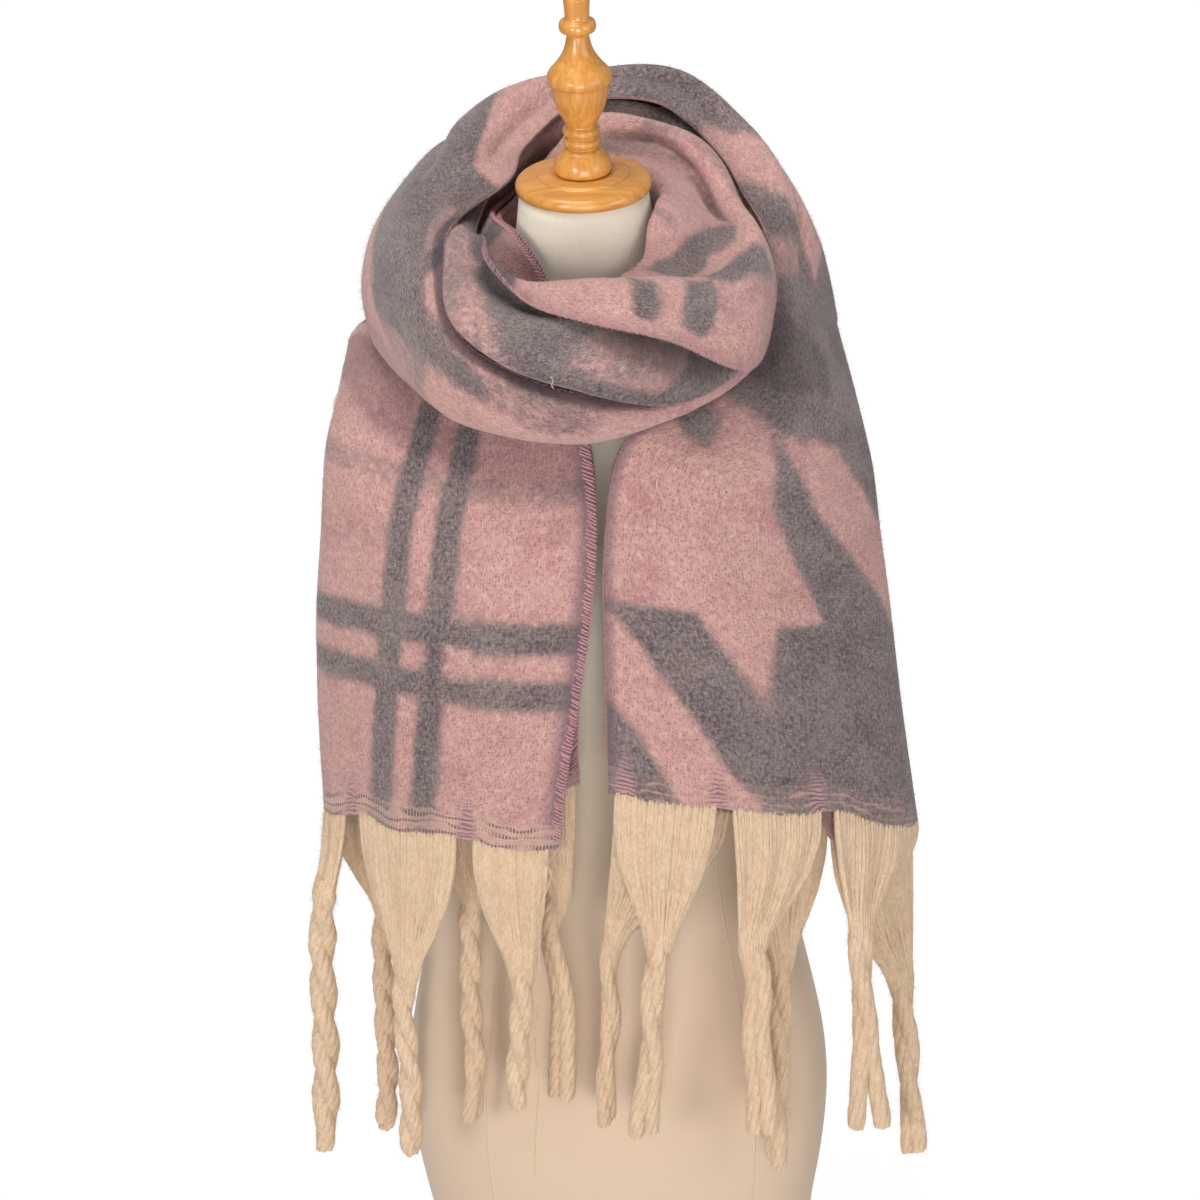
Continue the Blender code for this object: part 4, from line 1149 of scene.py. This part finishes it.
SHADE_HELD_LOW = (
    # places inside the folds where the painted shade is held light: corners and the most that they count as
    # closed
    ("face_hollow", [(365, 1290), (480, 1290), (480, 1480), (365, 1480)], 0.22),
    ("back_hollow", [(-20, 440), (60, 440), (60, 600), (-20, 600)], 0.25),
    ("face_hollow", [(-20, 1400), (60, 1400), (60, 1600), (-20, 1600)], 0.25),
)
for label, corners, most, feather in PAINTED_SHADOWS:
    painted_shadow = np.clip(0.5 + shape(u_grid, v_grid, corners) / feather, 0, 1) * most
    painted_shades[label] = np.maximum(painted_shades[label], painted_shadow)
for label, corners, most in SHADE_HELD_LOW:
    inside = shape(u_grid, v_grid, corners) > 0
    painted_shades[label] = np.where(inside, np.minimum(painted_shades[label], most), painted_shades[label])
face_hollow, back_hollow = painted_shades["face_hollow"], painted_shades["back_hollow"]

bm = bmesh.new()
bmesh.ops.create_grid(bm, x_segments=CLOTH_COLUMNS, y_segments=ROWS - 1, size=0.5)
cloth_mesh = bpy.data.meshes.new("scarf_cloth")
bm.to_mesh(cloth_mesh)
bm.free()
flat = np.empty(len(cloth_mesh.vertices) * 3)
cloth_mesh.vertices.foreach_get("co", flat)
flat = flat.reshape(-1, 3)
column = np.rint((flat[:, 0] + 0.5) * CLOTH_COLUMNS).astype(int)
row = np.rint((flat[:, 1] + 0.5) * (ROWS - 1)).astype(int)
cloth_mesh.vertices.foreach_set("co", (sheet[row, column] * 0.001).ravel())
CLOTH_LAYERS = {
    "face_grey": face_grey,
    "back_grey": back_grey,
    "worn": worn,
    # painted shade on the face and on the other side
    "face_hollow": face_hollow,
    "back_hollow": back_hollow,
    "ladder": ladder,
    "border": border,
    "from_hem": np.minimum(from_left, from_right) * 0.001,
}
for name, values in CLOTH_LAYERS.items():
    attribute = cloth_mesh.attributes.new(name, "FLOAT", "POINT")
    attribute.data.foreach_set("value", values[row, column].astype(np.float32))
corner = np.empty(len(cloth_mesh.loops), dtype=np.int32)
cloth_mesh.loops.foreach_get("vertex_index", corner)
across = shares[column[corner]] * CLOTH_WIDE
along = v_grid[row[corner], column[corner]] * 0.001
uv = np.stack([across, along], axis=1) / UV_SPAN
cloth_mesh.uv_layers.new(name="cloth").data.foreach_set("uv", uv.ravel())
cloth_mesh.update()
scarf = placed(
    "scarf_cloth",
    cloth_mesh,
    [back_finish, face_finish],
    ("left_panel", "left_shoulder_wrap", "inner_back_wrap", "front_loop", "outer_back_wrap", "right_panel"),
)
wall = scarf.modifiers.new("wall", "SOLIDIFY")
wall.thickness = CLOTH_THICK
wall.offset = 0.0
wall.material_offset = 1
wall.use_even_offset = False


# ---- The fringes -----------------------------------------------------------------------------
# Cream warp ends hang from both hems. Each lock fans out flat from the hem in fine ribs, is drawn
# together at its neck, and is twisted below it in two plies down to a blunt end.
YARN_PALE = (0.745, 0.560, 0.395, 1.0)
YARN_DEEP = (0.585, 0.410, 0.268, 1.0)
RIBS = 30
RIB_RADIUS = 0.0016
STRANDS = 6  # yarns that make one ply
STRAND_RADIUS = 0.0031
STRAND_OFF = 0.0031  # from the middle of the ply
PLY_OFF = 0.0027  # from the middle of the rope
ROPE_POINTS = 46
FAN_POINTS = 18
FUNNEL = ((0, 0.0), (0.25, 0.05), (0.5, 0.24), (0.75, 0.58), (0.92, 0.86), (1.06, 0.98), (1.25, 1.0))
RIB_WIDTHS = ((0, 0.1, 0.6, 1.0, 1.25), (0.9, 1.35, 1.2, 0.95, 0.6))  # down the fan, from hem to neck
FULL_SPAN = 64.0  # millimetres of hem over which a fan's ribs have their usual width
FULL_NECK = 0.0075  # half width of the neck of a tassel of usual thickness
ROPE_START = 0.012  # how far above its neck a rope begins, inside the fan
# along a rope: how far its plies and its yarns are from their middles, and how thick its yarns are
PLY_APART = ((0, 0.06, 0.12), (0.2, 0.65, 1.0))
YARN_APART = ((0, 0.06, 0.12, 0.96, 1), (0.3, 0.75, 1.0, 1.0, 1.12))
YARN_THICK = ((0, 0.06, 0.12, 0.97, 1), (0.2, 0.75, 1.0, 1.0, 0.75))

# Each lock, millimetres: its neck, its tip, how far its plies part at the end, where along it they
# part, the length of one whole twist and the half width of its neck.
LEFT_LOCKS = (
    (-66, -152, 364, -74, -152, 245, 2, 0.9, 74, 7.5),
    (-149, -132, 357, -154, -136, 203, 0, 1.0, 70, 7.5),
    (-207, -92, 398, -217, -98, 191, 1, 0.9, 82, 10.5),
    (-164, -68, 371, -174, -72, 188, 0, 1.0, 66, 7.0),
    (-100, -112, 402, -108, -114, 217, 3, 0.8, 72, 7.0),
    (-36, -130, 416, -45, -126, 240, 5, 0.35, 90, 7.5),
)
# what each lock takes of the hem, across the cloth
LEFT_SPANS = ((9, 66), (80, 170), (190, 229), (233, 304), (310, 380), (386, 456))
RIGHT_LOCKS = (
    (33, -160, 387, 15, -160, 224, 6, 0.7, 120, 8.0),
    (98, -150, 374, 104, -152, 219, 4, 0.1, 150, 9.0),
    (178, -118, 371, 180, -122, 202, 13, 0.62, 170, 9.5),
    (209, -74, 300, 215, -84, 158, 3, 0.8, 130, 8.5),
    (121, -120, 350, 111, -122, 172, 3, 0.8, 100, 8.0),
    (0, -140, 381, -12, -138, 222, 1, 0.9, 110, 5.5),
)
RIGHT_SPANS = ((4, 64), (75, 135), (146, 229), (233, 304), (310, 380), (386, 456))

YARN_SHEEN = (1.0, 0.92, 0.80, 1.0)

values = {"Sheen_Weight": 0.35, "Sheen_Roughness": 0.5, "Specular_IOR_Level": 0.1}
yarn, tree, shader = new_finish("cream yarn", 0.95, **values)
shader.inputs["Sheen Tint"].default_value = YARN_SHEEN
where = add_node(tree, "TexCoord").outputs["Object"]
strands = drawn_noise(tree, where, (1300, 1300, 300), 3.0)
clumps = drawn_noise(tree, where, (300, 300, 110), 4.0)
both = maths(tree, "ADD", strands, maths(tree, "MULTIPLY", clumps, 0.5))
base = colour_between(tree, range_of(tree, both, 0.50, 0.92), YARN_DEEP, YARN_PALE)
tree.links.new(base, shader.inputs["Base Color"])
bumped(tree, shader, both, 0.6, 0.0008)


def arms(side, front, angles):
    """Unit arms round an axis, one at each angle."""
    return side * np.cos(angles)[:, None] + front * np.sin(angles)[:, None]


def fringe(name, locks, spans, row, before, replaced):
    """All the locks of one hem. row is the hem's row of the cloth and before the row next to it."""
    rng = np.random.default_rng(len(name))
    hem = sheet[row] * 0.001
    outwards = hem - sheet[before] * 0.001
    walked = walked_along(hem)
    funnel = np.array(FUNNEL)
    down = np.linspace(0, funnel[-1, 0], FAN_POINTS)
    drawn_in = np.interp(down, funnel[:, 0], funnel[:, 1])
    rib_width = np.interp(down, *RIB_WIDTHS)
    lines, radii = [], []
    for lock, (low, high) in zip(np.array(locks), np.array(spans) / CHART_WIDE):
        neck, tip = lock[0:3] * 0.001, lock[3:6] * 0.001
        part, part_at, twist, half = lock[6:] * (0.001, 1, 0.001, 0.001)
        length = np.linalg.norm(tip - neck)
        rope_way = (tip - neck) / length
        first, last = (point_at(hem, walked, share * walked[-1]) for share in (low, high))
        side = (last - first) / np.linalg.norm(last - first)
        side -= rope_way * np.dot(side, rope_way)
        side /= np.linalg.norm(side)
        front = np.cross(side, rope_way)

        # the fan: ribs from the hem that draw together into a ring at the neck
        stretch = max(1.0, math.sqrt((high - low) * CHART_WIDE / FULL_SPAN))
        pleat = rng.uniform(0, math.tau)
        for k in range(RIBS):
            t = (k + 0.5 + 0.15 * math.sin(k * 2.4 + pleat) + 0.12 * math.sin(k * 0.9 + pleat)) / RIBS
            far = (low + (high - low) * t) * walked[-1]
            out = point_at(outwards, walked, far)
            root = point_at(hem, walked, far) - out / np.linalg.norm(out) * 0.002
            angle = math.pi * t
            round_way = 1 if k % 2 else -1
            spread = side * -math.cos(angle) * half
            rounded = front * (round_way * math.sin(angle) * 0.75 * half)
            drop = np.dot(neck - root, rope_way)
            across = neck + spread - root
            across = across - rope_way * np.dot(across, rope_way)
            rib = root + rope_way * (drop * down)[:, None] + across * drawn_in[:, None]
            rib = rib + rounded * (drawn_in**3)[:, None]
            bow = np.sin(np.clip(down, 0, 1) * math.pi) * 0.0016 * math.sin(t * 17 + pleat)
            rib = rib + front * (bow + rng.normal(0, 0.00015))[:, None]
            inwards = np.clip(down - 1.03, 0, 1)[:, None] * 2.1
            rib = rib + (neck + rope_way * (drop * (down - 1))[:, None] - rib) * inwards
            lines.append(rib)
            radii.append(rib_width * stretch * rng.uniform(0.92, 1.1))

        # the rope: two plies of several yarns, which part from each other towards the tip
        start = rng.uniform(0, math.tau)
        stout = math.sqrt(half / FULL_NECK)
        along = np.linspace(0, 1, ROPE_POINTS)
        bend = side * rng.normal(0, 0.0022) + front * rng.normal(0, 0.001)
        sway = side * rng.normal(0, 0.0014)
        begin = rope_way * ROPE_START
        centre = neck - begin + (tip - neck + begin)[None] * along[:, None]
        centre = centre + bend * np.sin(along * math.tau)[:, None]
        centre = centre + sway * np.sin(along * math.tau * 2 + start)[:, None]
        parting = np.clip((along - part_at) / max(1 - part_at, 0.05), 0, 1) * part / 2
        ply_off = (PLY_OFF + parting) * np.interp(along, *PLY_APART) * stout
        yarn_off = STRAND_OFF * stout * np.interp(along, *YARN_APART)
        yarn_thick = stout * np.interp(along, *YARN_THICK) * STRAND_RADIUS / RIB_RADIUS
        for ply in (0, 1):
            turn = start + math.pi * ply + math.tau * np.minimum(along, part_at) * length / twist
            ply_line = centre + arms(side, front, turn) * ply_off[:, None]
            shorter = rng.uniform(0.955, 1.0)
            for strand in range(STRANDS):
                spin = math.tau * strand / STRANDS - math.tau * along * length / (0.8 * twist) + ply
                line = ply_line + arms(side, front, spin) * yarn_off[:, None]
                reach = np.linspace(0, shorter * rng.uniform(0.985, 1.0), ROPE_POINTS) * (ROPE_POINTS - 1)
                lines.append(smooth_through(line, np.minimum(reach, ROPE_POINTS - 1.001)))
                wave = np.sin(along * 31 + rng.uniform(0, 6))
                uneven = 1 + 0.07 * wave + rng.normal(0, 0.03, ROPE_POINTS)
                radii.append(yarn_thick * uneven)
    return piped_lines(name, lines, RIB_RADIUS, [yarn], 2, replaced, radii)


left_fringe = fringe("left_fringe_locks", LEFT_LOCKS, LEFT_SPANS, 0, 1, ("left_fringe",))
right_fringe = fringe("right_fringe_locks", RIGHT_LOCKS, RIGHT_SPANS, -1, -2, ("right_fringe",))


# ---- Overcast edges --------------------------------------------------------------------------
# Both cut edges are whipped over with slanting stitches of a thick pink thread. The stitches show
# on the hanging ends and sink into the nap round the neck.
STITCH_STEP = 2.7  # millimetres from one stitch to the next
STITCH_RADIUS = 0.0007
STITCH = (
    # inwards from the edge, up from the middle of the cloth and along the edge, millimetres
    (6.2, -1.4, 8.4), (3.2, -1.8, 6.6), (0.2, -1.5, 4.9), (-0.6, 0.0, 4.2), (0.2, 1.5, 3.5),
    (3.2, 1.8, 1.8),
    (6.2, 1.4, 0.0),
)
STITCH_SIZES = {
    # along the cloth, and how long and thick the stitches are there, as a share of the full size
    "outer_edge_stitches": (
        (0, 330, 390, 600, 700, 1180, 1240, 1700, 1760, 2100),
        (1.0, 1.0, 0.4, 0.4, 0.2, 0.12, 0.0, 0.0, 0.12, 0.12),
    ),
    "inner_edge_stitches": (
        (0, 600, 760, 1010, 1100, 2100),
        (0.8, 0.5, 0.35, 0.35, 0.12, 0.1),
    ),
}
LEAST_STITCH = 0.05  # shorter ones are lost in the nap
STITCH_PINK = (0.50, 0.245, 0.26, 1.0)

thread, tree, shader = new_finish("overcast thread", 0.95, Sheen_Weight=0.3, Specular_IOR_Level=0.15)
where = add_node(tree, "TexCoord").outputs["Object"]
tone = noise_of(tree, where, 400.0)
paler = tuple(min(1.0, 1.25 * part) for part in STITCH_PINK[:3]) + (1.0,)
base = colour_between(tree, range_of(tree, tone, 0.35, 0.65), STITCH_PINK, paler)
tree.links.new(base, shader.inputs["Base Color"])
bumped(tree, shader, tone, 0.6, 0.0004)

rng = np.random.default_rng(5)
for name, edge, beside in (("outer_edge_stitches", 0, 2), ("inner_edge_stitches", -1, -3)):
    line, up = sheet[:, edge], face_way[:, edge]
    inward = sheet[:, beside] - line
    inward /= np.linalg.norm(inward, axis=1, keepdims=True)
    walked = walked_along(line)
    stops = np.arange(4.0, walked[-1] - 8.0, STITCH_STEP)
    stops = stops + rng.normal(0, 0.4, len(stops))
    sizes = np.interp(np.interp(stops, walked, v_grid[:, edge]), *STITCH_SIZES[name])
    legs = rng.uniform(0.7, 1.2, len(stops)) * sizes
    stitches, thick = [], []
    for stop, leg, size in zip(stops, legs, sizes):
        if size < LEAST_STITCH:
            continue
        stitch = []
        for inwards, upwards, onwards in STITCH:
            far = stop + onwards * min(1, leg + 0.3)
            reach = inwards * (leg if inwards > 1 else 1.0)
            place = point_at(line, walked, far) + point_at(inward, walked, far) * reach
            stitch.append((place + point_at(up, walked, far) * upwards) * 0.001)
        stitches.append(np.array(stitch))
        thick.append(np.full(len(STITCH), 0.3 + 0.7 * size))
    piped_lines(name, stitches, STITCH_RADIUS, [thread], 0, radii=thick)


# ---- Loose threads ---------------------------------------------------------------------------
# The end of the overcast thread hangs out at the left hem's corner, a single warp end has come out
# of its tassel below it, and two pale hairs lie on the nap.
LOOSE_THREADS = {
    # radius and finish, and the points that each thread passes, millimetres
    "loose_pink_thread": (0.0006, thread, (
        ((-36, -156, 463), (-39, -159.5, 458), (-43, -160, 453.5), (-46, -158, 449)),
    )),
    "loose_warp_end": (0.0005, yarn, (
        ((-45, -158, 451), (-42, -160, 443), (-45, -159, 433), (-51, -157, 415), (-53, -155, 385),
         (-54, -151, 345),
         (-59, -147, 300), (-58, -143, 262), (-62, -140, 220), (-64, -137, 184)),
    )),
    "loose_hairs": (0.0003, yarn, (
        ((-27.5, -171, 831), (-26, -172, 828), (-27, -172, 825), (-26, -171, 822)),
        ((43, -152, 743), (42, -152.5, 740), (42, -152, 737), (43, -151.5, 734)),
    )),
}
THREAD_STEPS = 6
for name, (radius, finish, threads) in LOOSE_THREADS.items():
    lines = []
    for points in threads:
        lines.append(smooth_through(points, rows_between(points, THREAD_STEPS)) * 0.001)
    piped_lines(name, lines, radius, [finish], 1)


# ---- The nap ---------------------------------------------------------------------------------
# Fine hairs brushed up on both sides of the cloth and on the yarn of the fringes. Each hair is one
# slender triangle that takes the colour at its root and the lie of the brushing.
NAP_HAIRS = 105000  # in each piece
NAP_PIECES = ("nap_a", "nap_b", "nap_c")
NAP_SEED = 40
# the hairs carry the chart, the wear and the painted shade of the cloth at their roots
NAP_LAYERS = ("face_grey", "back_grey", "worn", "face_hollow", "back_hollow")
FRINGE_HAIRS = 70000  # on each hem
HAIR_SUNK = 0.0001  # how far a root is inside the cloth
HAIR_WIDE = 0.00015
HAIR_LONG = (0.0030, 0.0085)


def nap_finish(name, side):
    """Loose fibre in the colour of the cloth on that side."""
    finish, tree, shader = new_finish(name, 0.95, Sheen_Weight=0.2, Specular_IOR_Level=0.05)
    tree.links.new(coloured_by(tree, side)[0]["Colour"], shader.inputs["Base Color"])
    return finish


def hairs(name, base, up, way, long):
    """A mesh of slender triangles that stand on base and point along way."""
    broad = np.cross(way, up)
    broad *= HAIR_WIDE / 2 / np.maximum(np.linalg.norm(broad, axis=1, keepdims=True), 1e-6)
    points = np.stack([base - broad, base + broad, base + way * long], axis=1).reshape(-1, 3)
    mesh = bpy.data.meshes.new(name)
    mesh.from_pydata(points.tolist(), [], np.arange(len(points)).reshape(-1, 3).tolist())
    return mesh


def shaded_like(mesh, up):
    """Gives every hair the shading of the surface it stands on."""
    mesh.normals_split_custom_set_from_vertices(np.repeat(up, 3, axis=0).tolist())


def at_cells(grid, rows, columns, down, over):
    """What a grid of the cloth has at places in its cells, down and over as shares of a cell."""
    weights = ((1 - down) * (1 - over), (1 - down) * over, down * (1 - over), down * over)
    if grid.ndim == 3:
        weights = [weight[:, None] for weight in weights]
    steps = ((0, 0), (0, 1), (1, 0), (1, 1))
    return sum(weight * grid[rows + i, columns + j] for weight, (i, j) in zip(weights, steps))


face_nap = nap_finish("nap, face side", "face")
back_nap = nap_finish("nap, other side", "back")
cells = np.linalg.norm(np.cross(np.diff(sheet, axis=0)[:, :-1], np.diff(sheet, axis=1)[:-1]), axis=2)
chances = np.cumsum(cells.ravel()) / cells.sum()

for number, name in enumerate(NAP_PIECES):
    rng = np.random.default_rng(NAP_SEED + number)
    rows, columns = np.divmod(np.searchsorted(chances, rng.random(NAP_HAIRS)), CLOTH_COLUMNS)
    down, over = rng.random(NAP_HAIRS), rng.random(NAP_HAIRS)
    spot = (rows, columns, down, over)
    root, up = at_cells(sheet, *spot) * 0.001, at_cells(face_way, *spot)
    side = np.where(rng.random(NAP_HAIRS) < 0.5, -1.0, 1.0)
    up = up * side[:, None] / np.linalg.norm(up, axis=1, keepdims=True)
    lie = sheet[rows + 1, columns] - sheet[rows, columns]
    lie /= np.linalg.norm(lie, axis=1, keepdims=True)
    turn = rng.normal(0, 0.75, NAP_HAIRS)
    turn += np.where(rng.random(NAP_HAIRS) < 0.3, math.pi, 0.0)
    lift = np.abs(rng.normal(0.2, 0.15, NAP_HAIRS))
    lift += np.where(rng.random(NAP_HAIRS) < 0.35, rng.uniform(0.2, 0.8, NAP_HAIRS), 0)
    way = arms(arms(lie, np.cross(up, lie), turn), up, lift)
    base = root + up * (CLOTH_THICK / 2 - HAIR_SUNK)
    mesh = hairs(name, base, up, way, rng.uniform(*HAIR_LONG, NAP_HAIRS)[:, None])
    for label in NAP_LAYERS:
        attribute = mesh.attributes.new(label, "FLOAT", "POINT")
        values = at_cells(CLOTH_LAYERS[label], *spot)
        attribute.data.foreach_set("value", np.repeat(values, 3).astype(np.float32))
    across = (columns + over) / CLOTH_COLUMNS * CLOTH_WIDE
    uv = np.stack([across, at_cells(v_grid, *spot) * 0.001], axis=1) / UV_SPAN
    mesh.uv_layers.new(name="cloth").data.foreach_set("uv", np.repeat(uv, 3, axis=0).ravel())
    mesh.polygons.foreach_set("material_index", (side > 0).astype(np.int32))
    placed(name, mesh, [face_nap, back_nap])
    shaded_like(mesh, up)

for name, piece in (("left_fringe_fuzz", left_fringe), ("right_fringe_fuzz", right_fringe)):
    rng = np.random.default_rng(len(name))
    count = len(piece.data.polygons)
    middles, ways, areas = np.empty(count * 3), np.empty(count * 3), np.empty(count)
    piece.data.polygons.foreach_get("center", middles)
    piece.data.polygons.foreach_get("normal", ways)
    piece.data.polygons.foreach_get("area", areas)
    picked = np.searchsorted(np.cumsum(areas) / areas.sum(), rng.random(FRINGE_HAIRS))
    picked = np.minimum(picked, count - 1)
    root, up = middles.reshape(-1, 3)[picked], ways.reshape(-1, 3)[picked]
    root = root + rng.normal(0, 0.0007, root.shape)
    lie = np.cross(up, rng.normal(0, 1, up.shape))
    lie[:, 2] *= 2.0
    lie /= np.maximum(np.linalg.norm(lie, axis=1, keepdims=True), 1e-6)
    way = arms(lie, up, rng.uniform(0.05, 0.95, FRINGE_HAIRS))
    mesh = hairs(name, root, up, way, rng.uniform(*HAIR_LONG, FRINGE_HAIRS)[:, None])
    placed(name, mesh, [yarn])
    shaded_like(mesh, up)
